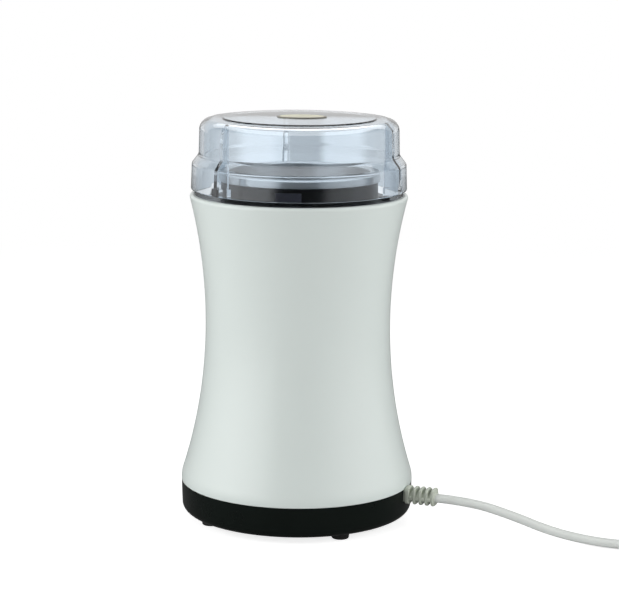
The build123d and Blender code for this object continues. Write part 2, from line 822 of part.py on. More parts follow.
def make_commutator():
    body = turned(
        [(shaft_r + press, commutator_z), (commutator_r, commutator_z),
         (commutator_r, commutator_top_z - 1.8), (riser_r, commutator_top_z - 1.8),
         (riser_r, commutator_top_z), (shaft_r + press, commutator_top_z)],
    )
    for index in range(slot_count):
        cut = Pos(riser_r, 0, 0) * block(2 * (riser_r - commutator_r + 0.8), 0.5, commutator_z - 1,
                                         commutator_top_z + 1)
        body -= Rot(0, 0, 360 / slot_count * index) * cut
    return body


def make_fan():
    top = bush_low_z - 1.0 - fan_gap
    fan = pipe(shaft_r + press, fan_hub_r, top - fan_height, top)
    fan += pipe(fan_hub_r - 0.5, fan_r, top - fan_plate, top)
    root = fan_hub_r - 0.3
    tip = math.radians(34)
    middle_r = (root + fan_r) / 2
    bow = math.radians(24)
    sweep_line = ThreePointArc((root, 0), (middle_r * math.cos(bow), middle_r * math.sin(bow)),
                               ((fan_r - 0.5) * math.cos(tip), (fan_r - 0.5) * math.sin(tip)))
    vane = Pos(0, 0, top - fan_height) * extrude(trace(sweep_line, fan_blade), fan_height - fan_plate / 2)
    for index in range(fan_blades):
        fan += Rot(0, 0, 360 / fan_blades * index) * vane
    return fan - post(shaft_r + press, top - fan_height - 1, top + 1)


def make_blade_spacer():
    spacer = pipe(shaft_r + press, spacer_r, spacer_z, blade_z - touch)
    return chamfer(spacer.edges().group_by(Axis.Z)[0].filter_by(GeomType.CIRCLE).sort_by(Edge.length)[-1], 0.5)


def make_blade():
    half = blade_length / 2
    rise = (half - blade_bend_r) * math.tan(math.radians(blade_bend))
    side = make_face(Polyline(
        (-half, -rise), (-blade_bend_r, 0), (blade_bend_r, 0), (half, rise), (half, rise + blade_sheet),
        (blade_bend_r, blade_sheet), (-blade_bend_r, blade_sheet), (-half, blade_sheet - rise), close=True))
    strip = Pos(0, blade_width, 0) * extrude(Plane.XZ * side, 2 * blade_width)
    tip = blade_width * 0.55
    plan = make_face(Polyline(
        (-half, -tip / 2), (-blade_bend_r, -blade_width / 2), (blade_bend_r, -blade_width / 2),
        (half, -tip / 2), (half, tip / 2), (blade_bend_r, blade_width / 2), (-blade_bend_r, blade_width / 2),
        (-half, tip / 2), close=True))
    plan = fillet(plan.vertices(), 1.8)
    blade = Pos(0, 0, blade_z) * (strip & Pos(0, 0, -2 * rise) * extrude(plan, 4 * (rise + blade_sheet)))
    return blade - post(thread_r + press, blade_z - 1, nut_z + 1)


def make_blade_nut():
    nut = Pos(0, 0, nut_z + touch) * extrude(RegularPolygon(nut_flats / 2, 6, major_radius=False), nut_height)
    nut &= turned([(0, nut_z), (nut_flats * 0.58, nut_z), (nut_flats * 0.58, nut_z + nut_height - 0.8),
                   (nut_flats * 0.44, nut_z + nut_height + touch), (0, nut_z + nut_height + touch)])
    return nut - post(thread_r + press, nut_z - 1, shaft_top_z + 1)


# Brushes

def make_brush_holders():
    width, _, height = brush_size
    wide = width + 2 * touch
    high = height + 2 * touch
    length = holder_outer_y - holder_inner_y
    box = Rectangle(wide + 2 * holder_wall, high + 2 * holder_wall)
    box = fillet(box.vertices(), 0.6) - Rectangle(wide, high)
    sleeve = Pos(0, -holder_inner_y, brush_z) * extrude(Plane.XZ * box, length)
    cap = Pos(0, -holder_outer_y, brush_z) * Box(wide + holder_wall, holder_wall, high + holder_wall,
                                                 align=(Align.CENTER, Align.MIN, Align.CENTER))
    holder = sleeve + cap
    return together([holder, Rot(0, 0, 180) * holder])


def make_carbon_brushes():
    width, length, height = brush_size
    near = commutator_r + 2 * running
    brush = Pos(0, -near + 1, brush_z) * Box(width, length + 1, height,
                                             align=(Align.CENTER, Align.MAX, Align.CENTER))
    brush -= post(near, brush_z - height, brush_z + height)
    return together([brush, Rot(0, 0, 180) * brush])


def make_brush_springs():
    near = commutator_r + 2 * running + brush_size[1] + touch
    far = holder_outer_y - holder_wall - touch
    spring = helix_spring(brush_spring_r, spring_wire_r, near, far, brush_spring_turns)
    spring = Pos(0, 0, brush_z) * Rot(90, 0, 0) * spring
    return together([spring, Rot(0, 0, 180) * spring])


# Cord fittings and leads inside the base

def make_strain_relief():
    length, height = relief_size
    start = base_r + touch
    relief = Rot(0, 90, 0) * Cylinder(relief_core_r, relief_length, align=(Align.CENTER, Align.CENTER,
                                                                          Align.MIN))
    relief += Pos(relief_length / 2, 0, 0) * Box(relief_length, length - 0.8, relief_spine)
    gap = (relief_length - relief_ribs * relief_rib) / (relief_ribs - 1)
    rib = Plane.YZ * RectangleRounded(length, height, 2.6)
    for index in range(relief_ribs):
        plate = extrude(rib, relief_rib)
        relief += Pos(index * (relief_rib + gap), 0, 0) * fillet(plate.edges().group_by(Axis.X)[-1], 0.5)
    neck_length = base_wall + tongue_wall + 2 * slip
    neck = Pos(-neck_length - 1, 0, 0) * extrude(Plane.YZ * RectangleRounded(*neck_size, 1.2), neck_length + 2)
    flange_width, flange_thick = relief_flange
    flange = Pos(-neck_length - flange_thick - slip, 0, 0) * extrude(
        Plane.YZ * RectangleRounded(flange_width, neck_size[1] + 1.6, 1.6), flange_thick)
    relief += neck + flange
    return around(cord_angle, start, cord_z) * relief


relief_end_r = base_r + touch + relief_length
relief_inner_r = base_r + touch - base_wall - tongue_wall - 3 * slip - relief_flange[1]


def make_inner_cord():
    length = relief_inner_r - inner_cord_end - touch
    return around(cord_angle, inner_cord_end, cord_z) * Rot(0, 90, 0) * Cylinder(
        cord_r - touch, length, align=(Align.CENTER, Align.CENTER, Align.MIN))


def make_cord_clamp():
    width, depth, thick = clamp_size
    low = cord_z + cord_r + touch
    clamp = fillet(block(depth, width, low, low + thick).edges().filter_by(Axis.Z), 1.2)
    for side in (-1, 1):
        clamp -= Pos(0, side * clamp_screw_pitch / 2, 0) * post(clamp_screw_r + slip, low - 1, low + thick + 1)
    return around(cord_angle, clamp_circle) * clamp


def make_clamp_screws():
    top = cord_z + cord_r + clamp_size[2] + 2 * touch
    screw = Rot(180, 0, 0) * make_screw(clamp_screw_r, 2.1, 1.3, 9)
    return together([around(cord_angle, clamp_circle, top) * Pos(0, side * clamp_screw_pitch / 2, 0) * screw
                     for side in (-1, 1)])


def make_lead_wires():
    run_r = stator_size[0] / 2 + 6.2
    tab_z = switch_z - touch - terminal_size[2] - touch
    start_r = inner_cord_end - seat
    left = switch_angle - math.degrees(terminal_pitch / switch_middle_r)
    right = switch_angle + math.degrees(terminal_pitch / switch_middle_r)
    low_z = cord_z + wire_rise
    live = [
        spot(start_r, cord_angle - 1.8, cord_z),
        spot(start_r - wire_loop, cord_angle - 1.8, cord_z),
        spot(start_r - wire_rise, 62, low_z),
        spot(plate_r + wire_gap, 61, low_z + 1.5),
        spot(run_r, 62, lower_plate_top_z + wire_gap),
        spot(run_r, 62, upper_plate_top_z + wire_gap),
        spot(switch_middle_r, left, tab_z - 4),
        spot(switch_middle_r, left, tab_z),
    ]
    coil_x = bore_r + pole_shoe - 0.6 + coil_width / 2
    coil_top = stack_top_z + coil_room + coil_overhang
    switched = [
        spot(switch_middle_r, right, tab_z),
        spot(switch_middle_r, right, tab_z - 4),
        spot(run_r - 0.4, 80, upper_plate_top_z + wire_gap),
        spot(stator_size[0] / 2 + wire_gap, 84, coil_top + 2.8),
        (coil_x + 5.7, -3.5, coil_top + 2.2),
        (coil_x, -5, coil_top + wire_r + touch),
    ]
    neutral = [
        spot(start_r, cord_angle + 1.8, cord_z),
        spot(start_r - wire_loop, cord_angle + 1.8, cord_z),
        spot(start_r - wire_rise, 78, low_z),
        spot(plate_r + wire_gap + 1, 76, low_z + 1.5),
        spot(run_r + 1.3, 50, lower_plate_z - 2),
        spot(run_r + 0.3, 22, brush_z - 5),
        spot(holder_outer_y + 5, 0, brush_z),
        (0, -holder_outer_y - touch, brush_z),
    ]
    return together([tube(path, wire_r, wire_bend) for path in (live, switched, neutral)])


def make_capacitor():
    length, depth, height = capacitor_size
    body = fillet(block(length, depth, floor_z + touch, floor_z + height).edges(), 0.6)
    return Pos(*capacitor_place) * body


# Free cord, coil, tie and plug

cord_start = spot(relief_end_r + touch, cord_angle, cord_z)
coil_start = (coil_centre[0], coil_centre[1] - coil_outer_r, coil_z)
plug_x = coil_centre[0] + coil_outer_r
plug_y = coil_centre[1] + coil_tail
plug_z = plug_size[2] / 2
cord_points = [
    cord_start,
    spot(relief_end_r + 13, cord_angle, cord_z),
    (90.5, -34.3, 9.8),
    (107.5, -41.5, 4.6),
    (126.5, -47.8, 2.2),
    (146.0, -52.6, 2.3),
    (161.5, coil_start[1], coil_z),
    (coil_start[0] - 2 * cord_r, coil_start[1], coil_z),
]


def bend_radii(points):
    """Largest tangent radius at each inner point: 0.45 of the shorter run over the half turn's tangent."""
    radii = []
    for before, corner, after in zip(points, points[1:], points[2:]):
        run_in = Vector(*corner) - Vector(*before)
        run_out = Vector(*after) - Vector(*corner)
        turn = math.radians(run_in.get_angle(run_out))
        radii.append(0.45 * min(run_in.length, run_out.length) / math.tan(turn / 2))
    return radii


def make_cord():
    radii = bend_radii(cord_points)
    path = FilletPolyline(*cord_points, radius=radii)
    solid = sweep(Plane(origin=path @ 0, z_dir=path % 0) * Circle(cord_r), path=path)
    print("cord bend radii", [round(radius, 1) for radius in radii])
    print("cord length", round(path.length, 1), "volume", round(solid.volume, 1),
          "section by length", round(math.pi * cord_r**2 * path.length, 1))
    return solid


def coil_path():
    """Two flat spirals of half turns, one above the other, joined by a climbing half turn."""
    x, y = coil_centre
    step = coil_pitch / 2
    halves = 2 * coil_layer_turns
    top_z = coil_z + coil_layer
    edges = [Line((x - 2 * cord_r, coil_start[1], coil_z), coil_start)]
    radius = coil_outer_r
    centre_y = y
    point = Vector(*coil_start)
    for index in range(2 * halves):
        rising = index % 2 == 0
        side = 1 if rising else -1
        climb = coil_layer if index == halves else 0.0
        z = point.Z
        end = Vector(x, centre_y + side * radius, z + climb)
        middle = Vector(x + side * radius, centre_y, z + climb / 2)
        edges.append(ThreePointArc(point, middle, end))
        point = end
        shrink = -step if index < halves else step
        centre_y += -side * shrink
        radius += shrink
    quarter = Vector(x + radius, centre_y, top_z)
    bend = Vector(x + radius * math.sin(math.pi / 4), centre_y - radius * math.cos(math.pi / 4), top_z)
    edges.append(ThreePointArc(point, bend, quarter))
    edges.append(Line(quarter, (plug_x, plug_y, plug_z)))
    return edges


def least_self_gap(wire):
    """Least clear distance between stretches of the coil that aren't neighbours along it."""
    spacing = 2.0
    count = int(wire.length / spacing)
    points = [wire.position_at(index / count) for index in range(count + 1)]
    skip = int(6 * cord_r / spacing)
    least = min((points[i] - points[j]).length for i in range(count + 1)
                for j in range(i + skip, count + 1))
    return least - 2 * cord_r


def make_cord_coil():
    wire = Wire(coil_path())
    solid = sweep(Plane(origin=wire @ 0, z_dir=wire % 0) * Circle(cord_r), path=wire)
    print("coil length", round(wire.length, 1), "least gap", round(least_self_gap(wire), 2), "volume",
          round(solid.volume, 1), "section by length", round(math.pi * cord_r**2 * wire.length, 1))
    return solid


def make_coil_tie():
    x, y = coil_centre
    outer_x = coil_outer_r - coil_pitch / 2 + cord_r + slip
    inner_turn = coil_outer_r - coil_pitch * 3 / 2
    inner_x = math.sqrt(inner_turn**2 - (coil_pitch / 2 + tie_width / 2) ** 2) - cord_r - slip
    high = coil_z + coil_layer + cord_r + slip
    middle_x = x - (outer_x + inner_x) / 2
    inside = RectangleRounded(outer_x - inner_x, high - tie_sheet, 1.2)
    band = RectangleRounded(outer_x - inner_x + 2 * tie_sheet, high + tie_sheet, 1.6)
    loop = Plane.XZ * (Pos(0, (high + tie_sheet) / 2) * (band - inside))
    return Pos(middle_x, y + tie_width / 2, 0) * extrude(loop, tie_width)


def make_plug_body():
    width, length, thick = plug_size
    sections = [*plug_neck, (width, thick), (width, thick)]
    sections = [(along, *size) for along, size in zip((*plug_steps, length), sections)]
    faces = [Pos(0, along, 0) * (Plane.XZ * RectangleRounded(wide, high, 3.0))
             for along, wide, high in sections]
    body = loft(faces[:2]) + loft(faces[1:3], ruled=True) + loft(faces[2:])
    return Pos(plug_x, plug_y + touch, plug_z) * body


def make_plug_blades():
    width, length, thick = plug_blade_size
    blade = Box(thick, length, width, align=(Align.CENTER, Align.MIN, Align.CENTER))
    blade = chamfer(blade.edges().group_by(Axis.Y)[-1], 0.5)
    blade -= Pos(0, length - plug_hole_inset, 0) * (Rot(0, 90, 0) * Cylinder(plug_hole_r, 2 * thick))
    base_y = plug_y + touch + plug_size[1] + touch
    return together([Pos(plug_x + side * plug_blade_pitch / 2, base_y, plug_z) * blade for side in (-1, 1)])


nodes = {
    "body_shell": make_body_shell,
    "base_cover": make_base_cover,
    "feet": make_feet,
    "base_screws": make_base_screws,
    "collar": make_collar,
    "bowl": make_bowl,
    "bowl_gasket": make_bowl_gasket,
    "shaft_seal": make_shaft_seal,
    "lid": make_lid,
    "switch_button": make_switch_button,
    "button_spring": make_button_spring,
    "microswitch": make_microswitch,
    "switch_plunger": make_switch_plunger,
    "switch_terminals": make_switch_terminals,
    "switch_screws": make_switch_screws,
    "stator_core": make_stator_core,
    "field_coils": make_field_coils,
    "upper_bracket": make_upper_bracket,
    "lower_bracket": make_lower_bracket,
    "upper_bearing": lambda: make_bush(bush_high_z),
    "lower_bearing": lambda: make_bush(bush_low_z),
    "motor_bolts": make_motor_bolts,
    "thrust_washers": make_thrust_washers,
    "motor_mounts": make_motor_mounts,
    "mount_screws": make_mount_screws,
    "motor_shaft": make_motor_shaft,
    "armature_core": make_armature_core,
    "armature_windings": make_armature_windings,
    "commutator": make_commutator,
    "fan": make_fan,
    "blade_spacer": make_blade_spacer,
    "blade": make_blade,
    "blade_nut": make_blade_nut,
    "brush_holders": make_brush_holders,
    "carbon_brushes": make_carbon_brushes,
    "brush_springs": make_brush_springs,
    "strain_relief": make_strain_relief,
    "inner_cord": make_inner_cord,
    "cord_clamp": make_cord_clamp,
    "clamp_screws": make_clamp_screws,
    "lead_wires": make_lead_wires,
    "capacitor": make_capacitor,
    "cord": make_cord,
    "cord_coil": make_cord_coil,
    "coil_tie": make_coil_tie,
    "plug_body": make_plug_body,
    "plug_blades": make_plug_blades,
}

for name, make in nodes.items():
    export_step(make(), f"parts/{name}.step")
print(len(nodes), "nodes written")
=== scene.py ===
import math

import bmesh
import bpy
import numpy as np
from mathutils import Matrix, Vector


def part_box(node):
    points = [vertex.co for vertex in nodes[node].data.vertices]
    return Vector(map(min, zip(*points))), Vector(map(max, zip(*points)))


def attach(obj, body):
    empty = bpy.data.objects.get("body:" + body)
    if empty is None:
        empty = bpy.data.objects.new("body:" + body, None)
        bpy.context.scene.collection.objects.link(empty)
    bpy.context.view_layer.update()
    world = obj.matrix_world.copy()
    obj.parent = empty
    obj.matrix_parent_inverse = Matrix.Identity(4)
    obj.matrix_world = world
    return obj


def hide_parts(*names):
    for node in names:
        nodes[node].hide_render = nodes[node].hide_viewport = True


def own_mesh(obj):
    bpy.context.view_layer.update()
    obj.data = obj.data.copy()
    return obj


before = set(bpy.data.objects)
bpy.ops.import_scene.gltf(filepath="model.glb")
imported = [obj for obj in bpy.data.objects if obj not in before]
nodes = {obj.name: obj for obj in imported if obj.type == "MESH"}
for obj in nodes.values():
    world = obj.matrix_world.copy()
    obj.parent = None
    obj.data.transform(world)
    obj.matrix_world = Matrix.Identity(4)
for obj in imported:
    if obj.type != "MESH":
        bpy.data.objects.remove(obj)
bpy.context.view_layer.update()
mm = 0.001
print("frame loaded:", len(nodes), "nodes")


# Camera, floor and light

camera = {
    "focalPixels": 2099.0,   # focal length in the photograph's own pixels
    "photoWidth": 619.0,
    "distance": 0.900,
    "pitch": 10.8,
    "roll": 0.5,
    "target": (0.0049, 0.0, 0.0928),
}
light = {
    "left": {"size": (0.62, 0.56), "place": (-0.58, -0.26, 0.20), "radiance": 3.05},
    "right": {"size": (0.60, 0.56), "place": (0.58, -0.24, 0.20), "radiance": 2.7},
    "top": {"size": (0.8, 0.8), "place": (0.0, 0.15, 1.3), "radiance": 0.7},
    "aim": (0, 0, 0.09),
    "room": 0.38,          # how bright the room is for diffuse light
    "roomInGloss": 1.0,    # how bright the room is in reflections
}
# pale cards stand round the front and overhead and show in reflections alone, the front one bright to the
# left and right of a gap; the panel at the back shows only through clear pieces
cards = {
    "radius": 0.6, "height": 0.62, "fade": 0.4, "columns": 161, "rows": 13,
    "azimuth": (-125, -95, -72, -34, -19, 21, 36, 80, 100, 125),
    "glow": (0.3, 1.1, 1.6, 1.35, 0.04, 0.04, 0.65, 1.0, 1.15, 0.3),
    "back": {"place": 0.50, "height": 0.36,
             "across": (-0.2, -0.064, -0.050, -0.013, -0.010, 0.013, 0.020, 0.052, 0.066, 0.2),
             "glow": (1.0, 1.0, 1.45, 1.5, 0.95, 0.92, 1.40, 1.40, 1.0, 1.0)},
    "roof": {"radius": 0.90, "height": 0.62, "glow": 2.1, "sides": 48},
}
floor = {"radius": 6.0, "sides": 96, "colour": (0.74, 0.74, 0.74), "inGloss": 0.12, "cameraLift": 0.78,
         "fadeStart": 0.30, "fadeEnd": 0.75}


def makeCamera():
    data = bpy.data.cameras.new("camera")
    data.sensor_width = 36.0
    data.lens = camera["focalPixels"] * data.sensor_width / camera["photoWidth"]
    data.clip_start, data.clip_end = 0.01, 50.0
    shooter = bpy.data.objects.new("camera", data)
    bpy.context.scene.collection.objects.link(shooter)
    pitch, roll = math.radians(camera["pitch"]), math.radians(camera["roll"])
    forward = Vector((0, math.cos(pitch), -math.sin(pitch)))
    level, upright = Vector((1, 0, 0)), Vector((0, math.sin(pitch), math.cos(pitch)))
    across = level * math.cos(roll) + upright * math.sin(roll)
    up = upright * math.cos(roll) - level * math.sin(roll)
    turn = Matrix((across, up, -forward)).transposed()
    shooter.matrix_world = Matrix.Translation(
        Vector(camera["target"]) - forward * camera["distance"]) @ turn.to_4x4()
    bpy.context.scene.camera = shooter


def makeLamp(name, settings):
    data = bpy.data.lights.new(name, "AREA")
    data.shape = "RECTANGLE"
    data.size, data.size_y = settings["size"]
    data.energy = settings["radiance"] * math.pi * data.size * data.size_y
    lamp = bpy.data.objects.new(name, data)
    bpy.context.scene.collection.objects.link(lamp)
    lamp.location = settings["place"]
    aim = Vector(light["aim"]) - lamp.location
    lamp.rotation_euler = aim.to_track_quat("-Z", "Y").to_euler()
    lamp.visible_camera = lamp.visible_transmission = lamp.visible_glossy = False


def makeRoom():
    world = bpy.data.worlds.new("room")
    bpy.context.scene.world = world
    world.use_nodes = True
    tree = world.node_tree
    tree.nodes.clear()
    path = tree.nodes.new("ShaderNodeLightPath")
    white = tree.nodes.new("ShaderNodeBackground")
    dim = tree.nodes.new("ShaderNodeBackground")
    dim.inputs["Strength"].default_value = light["room"]
    mix = tree.nodes.new("ShaderNodeMixShader")
    out = tree.nodes.new("ShaderNodeOutputWorld")
    gloss = addMaths(tree, "MULTIPLY", seenMirrored(tree, path), light["roomInGloss"])
    share = addMaths(tree, "MAXIMUM", seenDirectly(tree, path), gloss)
    tree.links.new(share, mix.inputs[0])
    tree.links.new(dim.outputs[0], mix.inputs[1])
    tree.links.new(white.outputs[0], mix.inputs[2])
    tree.links.new(mix.outputs[0], out.inputs[0])


def addMaths(tree, operation, first, second):
    node = tree.nodes.new("ShaderNodeMath")
    node.operation = operation
    for socket, value in zip(node.inputs, (first, second)):
        if isinstance(value, (int, float)):
            socket.default_value = value
        else:
            tree.links.new(value, socket)
    return node.outputs[0]


def eased(share):
    return share * share * (3 - 2 * share)


def disc(radius, height, sides):
    turn = np.linspace(0, 2 * np.pi, sides, endpoint=False)
    return np.c_[radius * np.cos(turn), radius * np.sin(turn), height + 0 * turn]


def seenDirectly(tree, path):
    # One for camera rays, and for rays that have only passed through clear pieces since the camera.
    bounces = addMaths(tree, "ADD", path.outputs["Glossy Depth"], path.outputs["Diffuse Depth"])
    straight = addMaths(tree, "LESS_THAN", bounces, 0.5)
    through = addMaths(tree, "MULTIPLY", path.outputs["Is Transmission Ray"], straight)
    return addMaths(tree, "MAXIMUM", path.outputs["Is Camera Ray"], through)


def seenMirrored(tree, path):
    # One for rays that a glossy bounce sent out, also when they pass through clear pieces after it.
    bounced = addMaths(tree, "MINIMUM", path.outputs["Glossy Depth"], 1.0)
    still = addMaths(tree, "SUBTRACT", 1.0, path.outputs["Is Diffuse Ray"])
    return addMaths(tree, "MULTIPLY", bounced, still)


def makeFloor():
    mesh = bpy.data.meshes.new("floor")
    mesh.from_pydata(disc(floor["radius"], 0, floor["sides"]).tolist(), [], [list(range(floor["sides"]))])
    ground = bpy.data.objects.new("floor", mesh)
    bpy.context.scene.collection.objects.link(ground)
    material = bpy.data.materials.new("palePaper")
    material.use_nodes = True
    tree = material.node_tree
    tree.nodes.clear()
    new, link = tree.nodes.new, tree.links.new
    paper = new("ShaderNodeBsdfDiffuse")
    paper.inputs["Color"].default_value = (*floor["colour"], 1)
    glossy = new("ShaderNodeEmission")
    glossy.inputs["Strength"].default_value = floor["inGloss"]
    lift = new("ShaderNodeEmission")
    white = new("ShaderNodeEmission")
    path = new("ShaderNodeLightPath")
    both = new("ShaderNodeAddShader")
    far = new("ShaderNodeVectorMath")
    far.operation = "LENGTH"
    fade = new("ShaderNodeMapRange")
    fade.interpolation_type = "SMOOTHSTEP"
    fade.inputs["From Min"].default_value = floor["fadeStart"]
    fade.inputs["From Max"].default_value = floor["fadeEnd"]
    mix, mirrored = new("ShaderNodeMixShader"), new("ShaderNodeMixShader")
    out = new("ShaderNodeOutputMaterial")
    seen = addMaths(tree, "MAXIMUM", path.outputs["Is Camera Ray"], path.outputs["Is Transmission Ray"])
    link(addMaths(tree, "MULTIPLY", seen, floor["cameraLift"]), lift.inputs["Strength"])
    link(paper.outputs[0], both.inputs[0])
    link(lift.outputs[0], both.inputs[1])
    link(new("ShaderNodeTexCoord").outputs["Object"], far.inputs[0])
    link(far.outputs["Value"], fade.inputs["Value"])
    link(addMaths(tree, "MULTIPLY", fade.outputs["Result"], seen), mix.inputs[0])
    link(both.outputs[0], mix.inputs[1])
    link(white.outputs[0], mix.inputs[2])
    solid = addMaths(tree, "SUBTRACT", 1.0, path.outputs["Is Transmission Ray"])
    link(addMaths(tree, "MULTIPLY", path.outputs["Is Glossy Ray"], solid), mirrored.inputs[0])
    link(mix.outputs[0], mirrored.inputs[1])
    link(glossy.outputs[0], mirrored.inputs[2])
    link(mirrored.outputs[0], out.inputs[0])
    mesh.materials.append(material)


def gridFaces(rows, columns, roundRows, roundColumns):
    # Quads of a grid of points; a round direction joins its last line to its first.
    row = np.arange(rows if roundRows else rows - 1)
    column = np.arange(columns if roundColumns else columns - 1)
    a, b = np.meshgrid(row, column, indexing="ij")
    nextRow, nextColumn = (a + 1) % rows, (b + 1) % columns
    return np.stack([a * columns + b, a * columns + nextColumn,
                     nextRow * columns + nextColumn, nextRow * columns + b], -1).reshape(-1, 4)


def makeGlow(name, seen):
    # light of the strength in the mesh's glow attribute, for the rays that seen picks; clear to all others
    material = bpy.data.materials.new(name)
    material.use_nodes = True
    tree = material.node_tree
    tree.nodes.clear()
    strength = tree.nodes.new("ShaderNodeAttribute")
    strength.attribute_name = "glow"
    shine = tree.nodes.new("ShaderNodeEmission")
    through = tree.nodes.new("ShaderNodeBsdfTransparent")
    mix = tree.nodes.new("ShaderNodeMixShader")
    out = tree.nodes.new("ShaderNodeOutputMaterial")
    tree.links.new(strength.outputs["Fac"], shine.inputs["Strength"])
    tree.links.new(seen(tree, tree.nodes.new("ShaderNodeLightPath")), mix.inputs[0])
    tree.links.new(through.outputs[0], mix.inputs[1])
    tree.links.new(shine.outputs[0], mix.inputs[2])
    tree.links.new(mix.outputs[0], out.inputs[0])
    return material


def hangCard(name, points, faces, glow, material):
    mesh = bpy.data.meshes.new(name)
    mesh.from_pydata(points.tolist(), [], faces)
    mesh.attributes.new("glow", "FLOAT", "POINT").data.foreach_set("value", glow)
    mesh.materials.append(material)
    card = bpy.data.objects.new(name, mesh)
    bpy.context.scene.collection.objects.link(card)
    card.visible_camera = card.visible_diffuse = False
    card.visible_shadow = card.visible_volume_scatter = False


def makeCards():
    # the front is an upright band of a cylinder; its glow runs along the azimuth between the given
    # values and fades out towards the top, both eased
    azimuth = np.linspace(cards["azimuth"][0], cards["azimuth"][-1], cards["columns"])
    height = np.linspace(0, cards["height"], cards["rows"])
    knots, values = np.array(cards["azimuth"], float), np.array(cards["glow"])
    gap = np.clip(np.searchsorted(knots, azimuth, side="right") - 1, 0, len(knots) - 2)
    share = eased((azimuth - knots[gap]) / (knots[gap + 1] - knots[gap]))
    along = values[gap] + (values[gap + 1] - values[gap]) * share
    fade = eased(np.clip((cards["height"] - height) / (cards["fade"] * cards["height"]), 0, 1))
    turn = np.radians(azimuth)[None, :]
    points = np.stack([cards["radius"] * np.sin(turn) + 0 * height[:, None],
                       -cards["radius"] * np.cos(turn) + 0 * height[:, None],
                       height[:, None] + 0 * turn], -1).reshape(-1, 3)
    inGloss = makeGlow("cardGlow", seenMirrored)
    hangCard("cards", points, gridFaces(len(height), len(azimuth), False, False).tolist(),
             (along[None, :] * fade[:, None]).ravel(), inGloss)
    roof, back = cards["roof"], cards["back"]
    hangCard("roof", disc(roof["radius"], roof["height"], roof["sides"]), [list(range(roof["sides"]))],
             np.full(roof["sides"], roof["glow"]), inGloss)
    across = np.repeat(back["across"], 2)
    low = np.tile((0.0, back["height"]), len(back["across"]))
    hangCard("backdrop", np.c_[across, 0 * across + back["place"], low],
             gridFaces(len(back["across"]), 2, False, False).tolist(),
             np.repeat(back["glow"], 2), makeGlow("backdropGlow", seenDirectly))


makeCamera()
for side in ("left", "right", "top"):
    makeLamp(side + "Softbox", light[side])
makeRoom()
makeFloor()
makeCards()
bpy.context.scene.view_settings.view_transform = "Standard"
print("camera, light and floor made")


# Materials: every finish mixes two tones, two roughnesses and a bump from noise on Object coordinates

